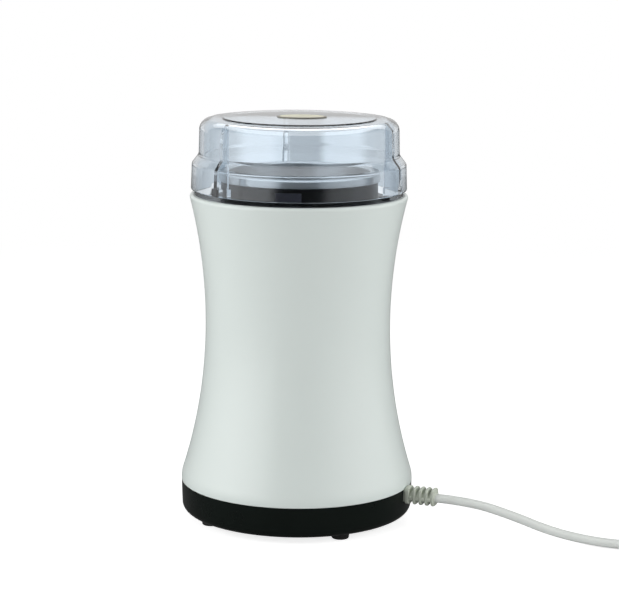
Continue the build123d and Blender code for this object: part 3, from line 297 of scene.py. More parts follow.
finishes = {
    "whiteGloss": {"tones": ((0.722, 0.786, 0.760), (0.712, 0.775, 0.749)), "rough": (0.28, 0.32),
                   "grain": 45, "fine": 900, "bump": 0.015, "coat": 0.25},
    "blackBase": {"tones": ((0.0035, 0.0055, 0.0045), (0.006, 0.009, 0.0075)), "rough": (0.26, 0.31),
                  "grain": 60, "fine": 1500, "bump": 0.008, "specular": 0.2},
    "blackCollar": {"tones": ((0.006, 0.007, 0.0085), (0.011, 0.012, 0.014)), "rough": (0.26, 0.36),
                    "grain": 80, "fine": 1200, "bump": 0.03, "specular": 0.46},
    "footRubber": {"tones": ((0.012, 0.012, 0.012), (0.024, 0.024, 0.023)), "rough": (0.7, 0.85),
                   "grain": 300, "fine": 2200, "bump": 0.25},
    "sealRubber": {"tones": ((0.02, 0.02, 0.021), (0.035, 0.034, 0.034)), "rough": (0.55, 0.75),
                   "grain": 250, "fine": 2000, "bump": 0.2},
    "screwSteel": {"tones": ((0.52, 0.53, 0.55), (0.62, 0.62, 0.63)), "rough": (0.22, 0.38),
                   "grain": 400, "fine": 3000, "bump": 0.1, "metal": 1.0},
    "groundSteel": {"tones": ((0.5, 0.5, 0.52), (0.6, 0.6, 0.61)), "rough": (0.16, 0.3),
                    "grain": 300, "fine": 3000, "bump": 0.06, "metal": 1.0, "stretch": (1, 1, 14)},
    "lamination": {"tones": ((0.20, 0.205, 0.21), (0.33, 0.335, 0.34)), "rough": (0.4, 0.6),
                   "grain": 150, "fine": 2500, "bump": 0.1, "metal": 1.0, "sheets": 0.5},
    "enamelCopper": {"tones": ((0.42, 0.15, 0.05), (0.62, 0.27, 0.10)), "rough": (0.25, 0.4),
                     "grain": 500, "fine": 2500, "bump": 0.2, "metal": 0.9, "sheets": 0.45},
    "castZinc": {"tones": ((0.45, 0.46, 0.47), (0.58, 0.58, 0.59)), "rough": (0.4, 0.58),
                 "grain": 200, "fine": 1400, "bump": 0.3, "metal": 1.0},
    "sinteredBronze": {"tones": ((0.42, 0.28, 0.11), (0.60, 0.42, 0.19)), "rough": (0.35, 0.5),
                       "grain": 600, "fine": 3500, "bump": 0.3, "metal": 1.0},
    "carbonBlock": {"tones": ((0.018, 0.018, 0.02), (0.04, 0.04, 0.042)), "rough": (0.5, 0.7),
                    "grain": 700, "fine": 4000, "bump": 0.25},
    "mouldedBlack": {"tones": ((0.012, 0.012, 0.013), (0.026, 0.026, 0.028)), "rough": (0.38, 0.55),
                     "grain": 160, "fine": 1800, "bump": 0.12},
    "mouldedCream": {"tones": ((0.60, 0.585, 0.53), (0.70, 0.69, 0.64)), "rough": (0.38, 0.52),
                     "grain": 120, "fine": 1600, "bump": 0.08},
    "mouldedRed": {"tones": ((0.42, 0.03, 0.025), (0.55, 0.05, 0.04)), "rough": (0.3, 0.45),
                   "grain": 200, "fine": 1800, "bump": 0.08},
    "pottedYellow": {"tones": ((0.62, 0.42, 0.05), (0.76, 0.55, 0.09)), "rough": (0.3, 0.45),
                     "grain": 150, "fine": 1500, "bump": 0.1},
    "leadBlue": {"tones": ((0.03, 0.07, 0.30), (0.05, 0.11, 0.40)), "rough": (0.35, 0.5),
                 "grain": 200, "fine": 1800, "bump": 0.08},
    "cordVinyl": {"tones": ((0.70, 0.725, 0.70), (0.76, 0.785, 0.76)), "rough": (0.38, 0.52),
                  "grain": 140, "fine": 1500, "bump": 0.12},
    "reliefVinyl": {"tones": ((0.47, 0.505, 0.43), (0.56, 0.60, 0.515)), "rough": (0.42, 0.55),
                    "grain": 260, "fine": 1700, "bump": 0.15},
    "platedBrass": {"tones": ((0.72, 0.55, 0.25), (0.82, 0.66, 0.34)), "rough": (0.16, 0.3),
                    "grain": 300, "fine": 2600, "bump": 0.06, "metal": 1.0},
    "tieBlack": {"tones": ((0.014, 0.014, 0.015), (0.03, 0.03, 0.03)), "rough": (0.45, 0.6),
                 "grain": 350, "fine": 2500, "bump": 0.2},
    "palePlate": {"tones": ((0.62, 0.60, 0.42), (0.74, 0.72, 0.55)), "rough": (0.28, 0.36),
                  "grain": 200, "fine": 2400, "bump": 0.008, "metal": 0.35},
    # painted light: a lighter grey on the collar's raised key block, for the light it catches
    "keyPaintedLight": {"tones": ((0.10, 0.10, 0.135), (0.13, 0.13, 0.165)), "rough": (0.3, 0.42),
                "grain": 120, "fine": 1500, "bump": 0.02, "specular": 0.2},
    "plateRim": {"tones": ((0.16, 0.15, 0.12), (0.28, 0.26, 0.21)), "rough": (0.3, 0.45),
                 "grain": 300, "fine": 2400, "bump": 0.05, "metal": 0.6},
}
bumpDepth, coatRoughness = 0.0002, 0.12
cloudDetail, fineDetail, cloudSpan = 4, 2, (0.2, 0.8)
sheetWave = {"scale": 0.314, "distortion": 0.4, "share": 3.0}    # the scale gives one band a metre


def addNoise(tree, vector, scale, detail):
    noise = tree.nodes.new("ShaderNodeTexNoise")
    noise.inputs["Scale"].default_value = scale
    noise.inputs["Detail"].default_value = detail
    tree.links.new(vector, noise.inputs["Vector"])
    return noise.outputs["Fac"]


def startMaterial(name):
    material = bpy.data.materials.new(name)
    material.use_nodes = True
    tree = material.node_tree
    place = tree.nodes.new("ShaderNodeTexCoord").outputs["Object"]
    return material, tree, tree.links.new, tree.nodes["Principled BSDF"], place


def addTones(tree, shader, factor, first, second):
    tones = tree.nodes.new("ShaderNodeMix")
    tones.data_type = "RGBA"
    tones.inputs["A"].default_value = (*first, 1)
    tones.inputs["B"].default_value = (*second, 1)
    tree.links.new(factor, tones.inputs["Factor"])
    tree.links.new(tones.outputs["Result"], shader.inputs["Base Color"])


def addRoughness(tree, shader, factor, span, rough, ease="LINEAR"):
    # the factor's span, from its low to its high value, becomes the roughness from low to high
    reach = tree.nodes.new("ShaderNodeMapRange")
    reach.interpolation_type = ease
    reach.inputs["From Min"].default_value, reach.inputs["From Max"].default_value = span
    reach.inputs["To Min"].default_value, reach.inputs["To Max"].default_value = rough
    tree.links.new(factor, reach.inputs["Value"])
    tree.links.new(reach.outputs["Result"], shader.inputs["Roughness"])


def addBump(tree, shader, height, strength, distance):
    bump = tree.nodes.new("ShaderNodeBump")
    bump.inputs["Strength"].default_value = strength
    bump.inputs["Distance"].default_value = distance
    tree.links.new(height, bump.inputs["Height"])
    tree.links.new(bump.outputs["Normal"], shader.inputs["Normal"])


def makeFinish(name):
    values = finishes[name]
    material, tree, link, shader, place = startMaterial(name)
    if "stretch" in values:
        mapping = tree.nodes.new("ShaderNodeMapping")
        mapping.inputs["Scale"].default_value = values["stretch"]
        link(place, mapping.inputs["Vector"])
        place = mapping.outputs[0]
    cloud = addNoise(tree, place, values["grain"], cloudDetail)
    fine = addNoise(tree, place, values["fine"], fineDetail)
    addTones(tree, shader, cloud, *values["tones"])
    addRoughness(tree, shader, cloud, cloudSpan, values["rough"], "SMOOTHSTEP")
    height = fine
    if "sheets" in values:   # stacked sheets or wound turns: a wave up the Z axis
        wave = tree.nodes.new("ShaderNodeTexWave")
        wave.bands_direction = "Z"
        wave.inputs["Scale"].default_value = sheetWave["scale"] / (values["sheets"] * mm)
        wave.inputs["Distortion"].default_value = sheetWave["distortion"]
        link(place, wave.inputs["Vector"])
        bands = addMaths(tree, "MULTIPLY", wave.outputs["Fac"], sheetWave["share"])
        height = addMaths(tree, "ADD", fine, bands)
    addBump(tree, shader, height, values["bump"], bumpDepth)
    shader.inputs["Metallic"].default_value = values.get("metal", 0.0)
    shader.inputs["Specular IOR Level"].default_value = values.get("specular", 0.5)
    shader.inputs["Coat Weight"].default_value = values.get("coat", 0.0)
    shader.inputs["Coat Roughness"].default_value = coatRoughness
    return material


materials = {name: makeFinish(name) for name in finishes}


steel = {"tone": (0.80, 0.81, 0.82), "darker": 0.88, "rough": (0.30, 0.38), "cloud": 70, "ringScale": 900.0,
         "bump": 0.08, "bumpDepth": 0.0001, "stretch": 0.85, "stretchTurn": 0.25}


def makeSpunSteel():
    # drawn and polished sheet: fine rings round the Z axis, from the radius and the height
    material, tree, link, shader, place = startMaterial("spunSteel")
    parts = tree.nodes.new("ShaderNodeSeparateXYZ")
    link(place, parts.inputs[0])
    squares = addMaths(tree, "ADD", addMaths(tree, "MULTIPLY", parts.outputs["X"], parts.outputs["X"]),
                       addMaths(tree, "MULTIPLY", parts.outputs["Y"], parts.outputs["Y"]))
    radius = addMaths(tree, "SQRT", squares, 0.0)
    rings = tree.nodes.new("ShaderNodeCombineXYZ")
    link(radius, rings.inputs["X"])
    link(parts.outputs["Z"], rings.inputs["Y"])
    lines = addNoise(tree, rings.outputs[0], steel["ringScale"], 3)
    addTones(tree, shader, lines, [steel["darker"] * value for value in steel["tone"]], steel["tone"])
    addRoughness(tree, shader, addNoise(tree, place, steel["cloud"], 3), (0, 1), steel["rough"])
    addBump(tree, shader, lines, steel["bump"], steel["bumpDepth"])
    shader.inputs["Metallic"].default_value = 1.0
    shader.inputs["Anisotropic"].default_value = steel["stretch"]
    shader.inputs["Anisotropic Rotation"].default_value = steel["stretchTurn"]
    rounds = tree.nodes.new("ShaderNodeTangent")
    rounds.direction_type, rounds.axis = "RADIAL", "Z"
    link(rounds.outputs[0], shader.inputs["Tangent"])
    return material


materials["spunSteel"] = makeSpunSteel()


clear = {"tones": ((0.695, 0.75, 0.80), (0.725, 0.78, 0.825)), "rough": (0.012, 0.035), "ior": 1.5,
         "cloud": 40, "scuff": 380, "scuffSpan": (0.45, 0.75), "bump": 0.03, "bumpDepth": 0.0003}


def makeClearPlastic():
    # smoky clear moulding: a little scuffing in the roughness and a faint flow line bump
    material, tree, _, shader, place = startMaterial("clearSmoke")
    cloud = addNoise(tree, place, clear["cloud"], 3)
    addTones(tree, shader, cloud, *clear["tones"])
    addRoughness(tree, shader, addNoise(tree, place, clear["scuff"], 4), clear["scuffSpan"], clear["rough"])
    addBump(tree, shader, cloud, clear["bump"], clear["bumpDepth"])
    shader.inputs["Transmission Weight"].default_value = 1.0
    shader.inputs["IOR"].default_value = clear["ior"]
    return material


materials["clearSmoke"] = makeClearPlastic()
print("materials made:", len(materials))


# Mesh helpers

mergeDistance = 0.000002


def meshObject(name, points, faces, material, body, sharp=32.0):
    # Points in millimetres, faces as lists of indices.
    mesh = bpy.data.meshes.new(name)
    mesh.from_pydata((points * mm).tolist(), [], faces)
    return finished(name, mesh, material, body, sharp)


def finished(name, mesh, material, body, sharp=32.0):
    # Object from a mesh in metres: doubles merged, faces turned outwards, edges over the angle sharp.
    work = bmesh.new()
    work.from_mesh(mesh)
    bmesh.ops.remove_doubles(work, verts=work.verts, dist=mergeDistance)
    bmesh.ops.recalc_face_normals(work, faces=work.faces)
    work.to_mesh(mesh)
    work.free()
    mesh.shade_smooth()
    mesh.set_sharp_from_angle(angle=math.radians(sharp))
    mesh.materials.clear()
    mesh.materials.append(materials[material])
    piece = bpy.data.objects.new(name, mesh)
    bpy.context.scene.collection.objects.link(piece)
    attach(piece, body)
    return piece


def roundedOutline(corners, steps=7):
    # Closed outline of (radius, height, rounding) corners: each corner becomes an arc that leaves its
    # two runs rounding / tan(half the angle) from the corner; the arc's points come from turning the
    # line from its centre to its start towards its end.
    corners = np.asarray(corners, float)
    here = corners[:, :2]
    back = np.roll(here, 1, 0) - here
    ahead = np.roll(here, -1, 0) - here
    back /= np.linalg.norm(back, axis=1)[:, None]
    ahead /= np.linalg.norm(ahead, axis=1)[:, None]
    half = np.arccos(np.clip((back * ahead).sum(1), -0.999999, 0.999999)) / 2
    rounding = corners[:, 2]
    start = here + back * (rounding / np.tan(half))[:, None]
    end = here + ahead * (rounding / np.tan(half))[:, None]
    bisector = back + ahead
    bisector /= np.maximum(np.linalg.norm(bisector, axis=1), 1e-9)[:, None]
    centre = here + bisector * (rounding / np.sin(half))[:, None]
    sweep = np.maximum(np.pi - 2 * half, 1e-4)[:, None, None]
    share = np.linspace(0, 1, steps)[None, :, None]
    arc = (np.sin((1 - share) * sweep) * (start - centre)[:, None] +
           np.sin(share * sweep) * (end - centre)[:, None]) / np.sin(sweep) + centre[:, None]
    arc = np.where((rounding > 0)[:, None, None], arc, here[:, None])
    points = arc.reshape(-1, 2)
    far = np.linalg.norm(points - np.roll(points, 1, 0), axis=1) > 1e-4
    return points[far]


def turnedPiece(name, outline, material, body, segments=192, sharp=32.0):
    # Outline turned round Z: x is radius times cosine, y radius times sine, one ring a turn step.
    turn = np.linspace(0, 2 * np.pi, segments, endpoint=False)[:, None]
    radius, height = outline[:, 0], outline[:, 1]
    points = np.stack([radius * np.cos(turn), radius * np.sin(turn), height + 0 * turn], -1).reshape(-1, 3)
    return meshObject(name, points, gridFaces(segments, len(outline), True, True).tolist(), material, body,
                      sharp)


def smoothCopy(node, material, body, sharp=28.0):
    # A CAD node's own shape with its doubles merged, so that its round faces shade smoothly.
    mesh = nodes[node].data.copy()
    if "custom_normal" in mesh.attributes:
        mesh.attributes.remove(mesh.attributes["custom_normal"])
    piece = finished(node + "_finished", mesh, material, body, sharp)
    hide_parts(node)
    return piece


def closedTube(points):
    # Faces of a tube of rings of points, with a fan at both ends to the two points that follow them.
    rows, columns = points.shape[:2]
    faces = gridFaces(rows, columns, False, True).tolist()
    ring, end = np.arange(columns), (rows - 1) * columns
    faces += np.c_[ring, (ring + 1) % columns, np.full(columns, rows * columns)].tolist()
    faces += np.c_[(ring + 1) % columns + end, ring + end, np.full(columns, rows * columns + 1)].tolist()
    return faces


def around(angle):
    # Turn from a piece's own axes, X outwards, to its place; angles count from the front (-Y) to +X.
    turn = math.radians(angle - 90)
    return np.array([[math.cos(turn), -math.sin(turn), 0], [math.sin(turn), math.cos(turn), 0], [0, 0, 1.0]])


# Cord: a flat twin cord on a NURBS line with the same points as the CAD route, its coil as more points

cordFacts = {
    "width": 5.2, "height": 3.4,      # of the flat section, mm
    "groove": {"sides": 3.2, "depth": 0.16, "width": 0.55}, "around": 28, "smooth": 50,
    "route": [(59.1, -21.51, 13.3), (73.72, -26.83, 13.3), (90.5, -34.3, 9.8), (107.5, -41.5, 4.6),
              (126.5, -47.8, 2.2), (146.0, -52.6, 2.3), (161.5, -54.0, 2.8), (170.6, -54.0, 2.8)],
    "tail": [(214.0, -12.2, 7.6), (214.0, 0.0, 7.2), (214.0, 11.0, 7.0)],
    "centre": (180.0, -18.65), "centreAbove": -21.35,
    "startRadius": 35.35, "pitch": 2.7, "low": 2.8, "high": 7.6,
    "length": 0.933,
}


def coilPoints():
    # Control points of the two flat spirals, twelve a turn. Half turn h: the radius is the start's less
    # the pitch times h in the lower layer, steady while it climbs from h = 4 to 5, then growing again.
    # The points lie outside the line by one over the cosine of half a step, so the line keeps its radius.
    step = 1 / 6
    half = np.arange(51) * step + step / 2
    climb = eased(np.clip(half - 4, 0, 1))
    radius = cordFacts["startRadius"] - cordFacts["pitch"] * (np.minimum(half, 4) - np.maximum(half - 5, 0))
    radius = radius / math.cos(math.pi * step / 2)
    turn = np.pi * (half - 0.5)
    middleY = cordFacts["centre"][1] + (cordFacts["centreAbove"] - cordFacts["centre"][1]) * climb
    height = cordFacts["low"] + (cordFacts["high"] - cordFacts["low"]) * climb
    return np.c_[cordFacts["centre"][0] + radius * np.cos(turn), middleY + radius * np.sin(turn), height]


def makeCord():
    control = np.vstack([cordFacts["route"], coilPoints(), cordFacts["tail"]]) * mm
    curve = bpy.data.curves.new("cordLine", "CURVE")
    curve.dimensions = "3D"
    spline = curve.splines.new("NURBS")
    spline.points.add(len(control) - 1)
    spline.points.foreach_set("co", np.c_[control, np.ones(len(control))].ravel())
    spline.order_u = 3
    spline.use_endpoint_u = True
    spline.resolution_u = 8
    guide = bpy.data.objects.new("cordLine", curve)
    bpy.context.scene.collection.objects.link(guide)
    bpy.context.view_layer.update()
    line = bpy.data.meshes.new_from_object(guide.evaluated_get(bpy.context.evaluated_depsgraph_get()))
    path = np.zeros(len(line.vertices) * 3)
    line.vertices.foreach_get("co", path)
    path = path.reshape(-1, 3) / mm
    bpy.data.objects.remove(guide)
    ahead = np.gradient(path, axis=0)
    ahead /= np.linalg.norm(ahead, axis=1)[:, None]
    across = np.cross((0.0, 0.0, 1.0), ahead)
    across /= np.linalg.norm(across, axis=1)[:, None]
    above = np.cross(ahead, across)
    # section: two round cores side by side, radius half the height, with a soft groove between them
    turn = np.linspace(0, 2 * np.pi, cordFacts["around"], endpoint=False)
    core, groove = cordFacts["height"] / 2, cordFacts["groove"]
    apart = cordFacts["width"] / 2 - core
    wide = core * np.cos(turn) + apart * np.tanh(groove["sides"] * np.cos(turn))
    high = core * np.sin(turn) * (1 - groove["depth"] * np.exp(-(wide / groove["width"]) ** 2))
    points = path[:, None] + across[:, None] * wide[None, :, None] + above[:, None] * high[None, :, None]
    faces = closedTube(points)
    points = np.vstack([points.reshape(-1, 3), path[:1], path[-1:]])
    cord = meshObject("twinCord", points, faces, "cordVinyl", "housing", cordFacts["smooth"])
    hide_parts("cord", "cord_coil")
    print("cord line", round(float(np.linalg.norm(np.diff(path, axis=0), axis=1).sum()), 1), "mm")
    return cord, path


cord, cordPath = makeCord()


# Body shell: the waisted wall outside and in, with its rim, deck seat and tongue

shell = {"seam": 16.3, "baseRadius": 50.0, "flare": 19.2, "waist": 39.6, "waistHeight": 85.4,
         "rimRadius": 46.65, "rim": 140.7, "wall": 2.2, "deckRadius": 44.25, "ledge": 138.25,
         "bead": 42.4, "beadLow": 135.35, "tongueInner": 45.6, "tongueOuter": 47.4, "tongueLow": 12.3,
         "flareBlend": 15.0, "rimBlend": 1.3, "edge": 0.25,
         "outside": (22.4, 138.2, 84), "inside": (133.3, 23.0, 60)}    # first and last height, and how many


def waistRadius(height, inset=0.0):
    # Distance from the axis of an arc that is upright at the waist and passes the base or rim edge.
    height = np.asarray(height, float)
    rise = height - shell["waistHeight"]
    outLow, outHigh = shell["baseRadius"] - shell["waist"], shell["rimRadius"] - shell["waist"]
    low = ((shell["flare"] - shell["waistHeight"]) ** 2 + outLow ** 2) / (2 * outLow)
    high = ((shell["rim"] - shell["waistHeight"]) ** 2 + outHigh ** 2) / (2 * outHigh)
    arc = np.where(rise > 0, high, low) + inset
    return shell["waist"] - inset + arc - np.sqrt(arc ** 2 - rise ** 2)


def plain(radius, height):
    return np.c_[radius, height, 0 * np.asarray(height, float)]


def makeBodyShell():
    up, down = np.linspace(*shell["outside"]), np.linspace(*shell["inside"])
    outline = np.vstack([
        (shell["baseRadius"], shell["seam"], shell["edge"]),
        (shell["baseRadius"], shell["flare"], shell["flareBlend"]),
        plain(waistRadius(up), up),
        (shell["rimRadius"], shell["rim"], shell["rimBlend"]),
        (shell["deckRadius"], shell["rim"], shell["edge"]),
        (shell["deckRadius"], shell["ledge"], 0),
        (shell["bead"], shell["ledge"], 0),
        (shell["bead"], shell["beadLow"], 0),
        plain(waistRadius(down, shell["wall"]), down),
        (shell["tongueInner"], shell["tongueLow"], 0), (shell["tongueOuter"], shell["tongueLow"], 0),
        (shell["tongueOuter"], shell["seam"], 0),
    ])
    piece = turnedPiece("waistedShell", roundedOutline(outline, 9), "whiteGloss", "housing",
                        segments=256)
    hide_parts("body_shell")


makeBodyShell()
print("body shell made")


# Lid: stepped clear wall, raised plateau and three fins

lid = {"low": 142.7, "radius": 45.8, "stepRadius": 45.4, "step": 153.6, "coneTop": 157.4, "upper": 42.5,
       "shoulderRadius": 42.1, "shoulder": 4.6, "innerShoulder": 3.2, "top": 173.0, "plateau": 0.6,
       "plateauRadius": 32.4, "plateauEdge": 0.3, "wall": 2.0, "edges": (0.5, 0.4),
       "stepBlend": 1.8, "coneBlend": 2.4, "coneDrop": 0.6, "smooth": 40.0,
       "finInner": 37.8, "finThick": 2.0, "finAngles": (-50.0, 69.5, 189.0),
       "finFoot": (4.6, 3.0), "finClear": 0.2, "finEdge": 0.4, "finShoulder": 6.0, "finOverlap": 0.02}


def makeLid():
    wall, top, edge = lid["wall"], lid["top"], lid["plateauEdge"]
    under, ceiling = top - lid["plateau"], top - wall
    outline = [
        (lid["radius"], lid["low"], lid["edges"][0]), (lid["stepRadius"], lid["step"], lid["stepBlend"]),
        (lid["upper"], lid["coneTop"], lid["coneBlend"]), (lid["shoulderRadius"], under, lid["shoulder"]),
        (lid["plateauRadius"] + edge, under, edge / 2), (lid["plateauRadius"], top, edge),
        (0.0, top, 0), (0.0, ceiling, 0),
        (lid["shoulderRadius"] - wall, ceiling, lid["innerShoulder"]),
        (lid["upper"] - wall, lid["coneTop"] - lid["coneDrop"], lid["coneBlend"]),
        (lid["stepRadius"] - wall, lid["step"] - lid["coneDrop"], lid["stepBlend"]),
        (lid["radius"] - wall, lid["low"], lid["edges"][1]),
    ]
    piece = turnedPiece("clearLid", roundedOutline(outline, 8), "clearSmoke", "lid",
                        sharp=lid["smooth"])
    for angle in lid["finAngles"]:
        addFin(piece, angle)
    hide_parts("lid")


def addFin(piece, angle):
    # Fin: a flat plate between the wall and a vertical inner edge, and its foot, both joined to the wall.
    embed = lid["wall"] / 2
    low = lid["low"] + lid["finClear"]
    side = np.array([
        (lid["finInner"], low), (lid["radius"] - embed, low + lid["finEdge"]),
        (lid["stepRadius"] - embed, lid["step"]), (lid["upper"] - embed, lid["coneTop"]),
        (lid["upper"] - embed, lid["top"] - lid["finShoulder"]),
        (lid["finInner"], lid["top"] - lid["wall"] + lid["finEdge"])])
    wide, high = lid["finFoot"]
    inner, outer = lid["finInner"] - lid["finOverlap"], lid["radius"] - embed - lid["finClear"]
    bottom = low - lid["finOverlap"]
    foot = np.array([(inner, bottom), (outer, bottom), (outer, low + high), (inner, low + high)])
    for points, faces in (slab(side, lid["finThick"] / 2), slab(foot, wide / 2)):
        mesh = bpy.data.meshes.new("finCutter")
        mesh.from_pydata((points @ around(angle).T * mm).tolist(), [], faces)
        work = bmesh.new()
        work.from_mesh(mesh)
        bmesh.ops.recalc_face_normals(work, faces=work.faces)
        work.to_mesh(mesh)
        work.free()
        cutter = bpy.data.objects.new("finCutter", mesh)
        bpy.context.scene.collection.objects.link(cutter)
        join = piece.modifiers.new("join", "BOOLEAN")
        join.operation = "UNION"
        join.solver = "EXACT"
        join.object = cutter
        applyModifiers(piece)
        bpy.data.objects.remove(cutter)


def slab(side, half):
    # Prism of a side outline in the radius and height plane, half its thickness each way of it.
    count = len(side)
    points = np.vstack([np.c_[side[:, 0], np.full(count, y), side[:, 1]] for y in (-half, half)])
    ring = np.arange(count)
    faces = [ring.tolist(), (ring + count).tolist()]
    faces += np.c_[ring, (ring + 1) % count, (ring + 1) % count + count, ring + count].tolist()
    return points, faces


def faceMiddles(mesh):
    middle = np.zeros(len(mesh.polygons) * 3)
    mesh.polygons.foreach_get("center", middle)
    return (middle.reshape(-1, 3) / mm).T


def applyModifiers(piece):
    bpy.context.view_layer.update()
    graph = bpy.context.evaluated_depsgraph_get()
    mesh = bpy.data.meshes.new_from_object(piece.evaluated_get(graph))
    piece.modifiers.clear()
    piece.data = mesh
    mesh.shade_smooth()
    mesh.set_sharp_from_angle(angle=math.radians(lid["smooth"]))


plate = {"length": 21.0, "width": 13.2, "thick": 0.45, "crown": 0.15, "x": 1.0, "around": 96,
         "scale": (1.0, 1.0, 0.985, 0.95, 0.90, 0.88, 0.86, 0.6, 0.3, 0.02),
         "rise": (0.0, 0.7, 0.95, 1.0, 1.0, 0.72, 0.66, 0.66, 0.66, 0.66),
         "face": 0.87, "rimStart": 0.80}


def makePlate():
    # Bare oval plate on the plateau: rings of an ellipse, in from the edge and up over a round rim to a
    # shallow crown. A ring's scale goes from 1 at the edge to 0 in the middle.
    scale, rise = np.array(plate["scale"]), np.array(plate["rise"]) * plate["thick"]
    rise = rise + plate["crown"] * np.where(scale < plate["face"], 1 - (scale / plate["face"]) ** 2, 0)
    turn = np.linspace(0, 2 * np.pi, plate["around"], endpoint=False)
    x = plate["x"] + plate["length"] / 2 * scale[:, None] * np.cos(turn)
    y = plate["width"] / 2 * scale[:, None] * np.sin(turn)
    z = lid["top"] + rise[:, None] + 0 * turn
    points = np.stack([x, y, z], -1).reshape(-1, 3)
    faces = gridFaces(len(scale), len(turn), False, True).tolist()
    ring = np.arange(len(turn))
    faces += [(ring + (len(scale) - 1) * len(turn)).tolist(), ring[::-1].tolist()]
    mesh = meshObject("ovalPlate", points, faces, "palePlate", "lid").data
    mesh.materials.append(materials["plateRim"])
    x, y, _ = faceMiddles(mesh)
    out = ((x - plate["x"]) / plate["length"] * 2) ** 2 + (y / plate["width"] * 2) ** 2
    mesh.polygons.foreach_set("material_index", (out > plate["rimStart"]).astype(np.int32))


makeLid()
makePlate()
print("lid made")


# Bowl, turned from sheet

bowl = {"radius": 30.0, "sheet": 0.8, "top": 150.3, "floor": 112.4, "corner": 8.0, "lip": 34.35,
        "lipLow": 147.2, "hole": 5.35, "roll": 0.7, "edge": 0.2, "bend": 0.1}


def makeBowl():
    outer = bowl["radius"] + bowl["sheet"]
    under = bowl["floor"] - bowl["sheet"]
    lipInner = bowl["lip"] - bowl["sheet"]
    outline = roundedOutline([
        (bowl["hole"], bowl["floor"], 0), (bowl["radius"], bowl["floor"], bowl["corner"]),
        (bowl["radius"], bowl["top"], bowl["roll"]), (bowl["lip"], bowl["top"], bowl["roll"]),
        (bowl["lip"], bowl["lipLow"], bowl["edge"]), (lipInner, bowl["lipLow"], bowl["edge"]),
        (lipInner, bowl["top"] - bowl["sheet"], bowl["bend"]),
        (outer, bowl["top"] - bowl["sheet"], bowl["bend"]), (outer, under, bowl["corner"] + bowl["sheet"]),
        (bowl["hole"], under, 0)], 12)
    piece = turnedPiece("steelBowl", outline, "spunSteel", "housing")
    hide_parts("bowl")


makeBowl()
print("bowl made")


# Strain relief and plug: closed surfaces through sections along the cord

# the half sizes of a section go across and up, and a power over 2 squares it off; the plug's shoulder has
# its start and length, ring depth, pitch and end, hollow depth, middle and half length, grip depth, pitch
# and half length
relief = {"angle": 70.0, "wall": 50.05, "height": 13.7, "half": (3.9, 3.75), "power": 3.4, "round": 0.6,
          "ribs": ((0.1, 2.35), (3.7, 5.15), (6.4, 7.85), (9.1, 10.55), (11.7, 13.3)),
          "core": (2.6, 1.6, 2.4), "spine": (3.85, 0.85, 6.0), "spineDrop": 0.7, "merge": 8,
          "neck": (3.4, 2.85, 5.0), "neckLength": 4.55, "flange": (4.8, 3.65, 5.0), "flangeThick": 1.6,
          "tuck": 0.05}
plug = {"place": (214.0, 11.05, 7.0), "length": 26.0, "steps": 131,
        "neck": (4.3, 3.8), "body": (12.0, 7.0), "powers": (2.2, 5.6), "edge": 0.9,
        "shoulder": (5.0, 5.5), "ring": (0.45, 1.5, 5.25), "hollow": (1.1, 17.0, 6.0),
        "grip": (0.28, 2.0, 4.5)}


def superellipse(halfWide, halfHigh, power, steps=96, drop=0.0):
    # Radius round the section: |cos/a|^n + |sin/b|^n, to the power -1/n. A drop shifts the sides down.
    turn = np.linspace(0, 2 * np.pi, steps, endpoint=False)
    wide = np.abs(np.cos(turn) / halfWide) ** power
    high = np.abs((np.sin(turn) + drop / halfWide) / halfHigh) ** power
    return (wide + high) ** (-1 / power)


def sectionedPiece(name, along, radius, angle, place, material, sharp=30.0):
    turn = np.linspace(0, 2 * np.pi, radius.shape[1], endpoint=False)
    points = np.stack([along[:, None] + 0 * radius, radius * np.cos(turn), radius * np.sin(turn)], -1)
    faces = closedTube(points)
    points = np.vstack([points.reshape(-1, 3), (along[0], 0, 0), (along[-1], 0, 0)])
    return meshObject(name, points @ around(angle).T + place, faces, material, "housing", sharp)


def makeRelief():
    wide, high = relief["half"]
    core, flange, neck = (superellipse(*relief[part]) for part in ("core", "flange", "neck"))
    spine = superellipse(*relief["spine"], drop=relief["spineDrop"])
    between = (core ** relief["merge"] + spine ** relief["merge"]) ** (1 / relief["merge"])
    back = -relief["neckLength"]
    rows = [(back - relief["flangeThick"], flange), (back, flange), (back, neck), (-relief["tuck"], neck)]
    lean = np.linspace(0, np.pi / 2, 6)
    for start, end in relief["ribs"]:
        fall = relief["round"] * (1 - np.sin(lean))
        step = relief["round"] * (1 - np.cos(lean))
        arcs = [superellipse(wide - less, high - less, relief["power"]) for less in fall]
        rows.append((start, between))
        rows += list(zip(start + step, arcs))
        rows += list(zip(end - step[::-1], arcs[::-1]))
        rows.append((end, between))
    rows[4] = (relief["ribs"][0][0], neck)
    rows[-1] = (relief["ribs"][-1][1], core)
    along = np.array([row[0] for row in rows])
    radius = np.array([row[1] for row in rows])
    turn = math.radians(relief["angle"] - 90)
    place = (relief["wall"] * math.cos(turn), relief["wall"] * math.sin(turn), relief["height"])
    piece = sectionedPiece("ribbedRelief", along, radius, relief["angle"], place, "reliefVinyl")
    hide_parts("strain_relief")


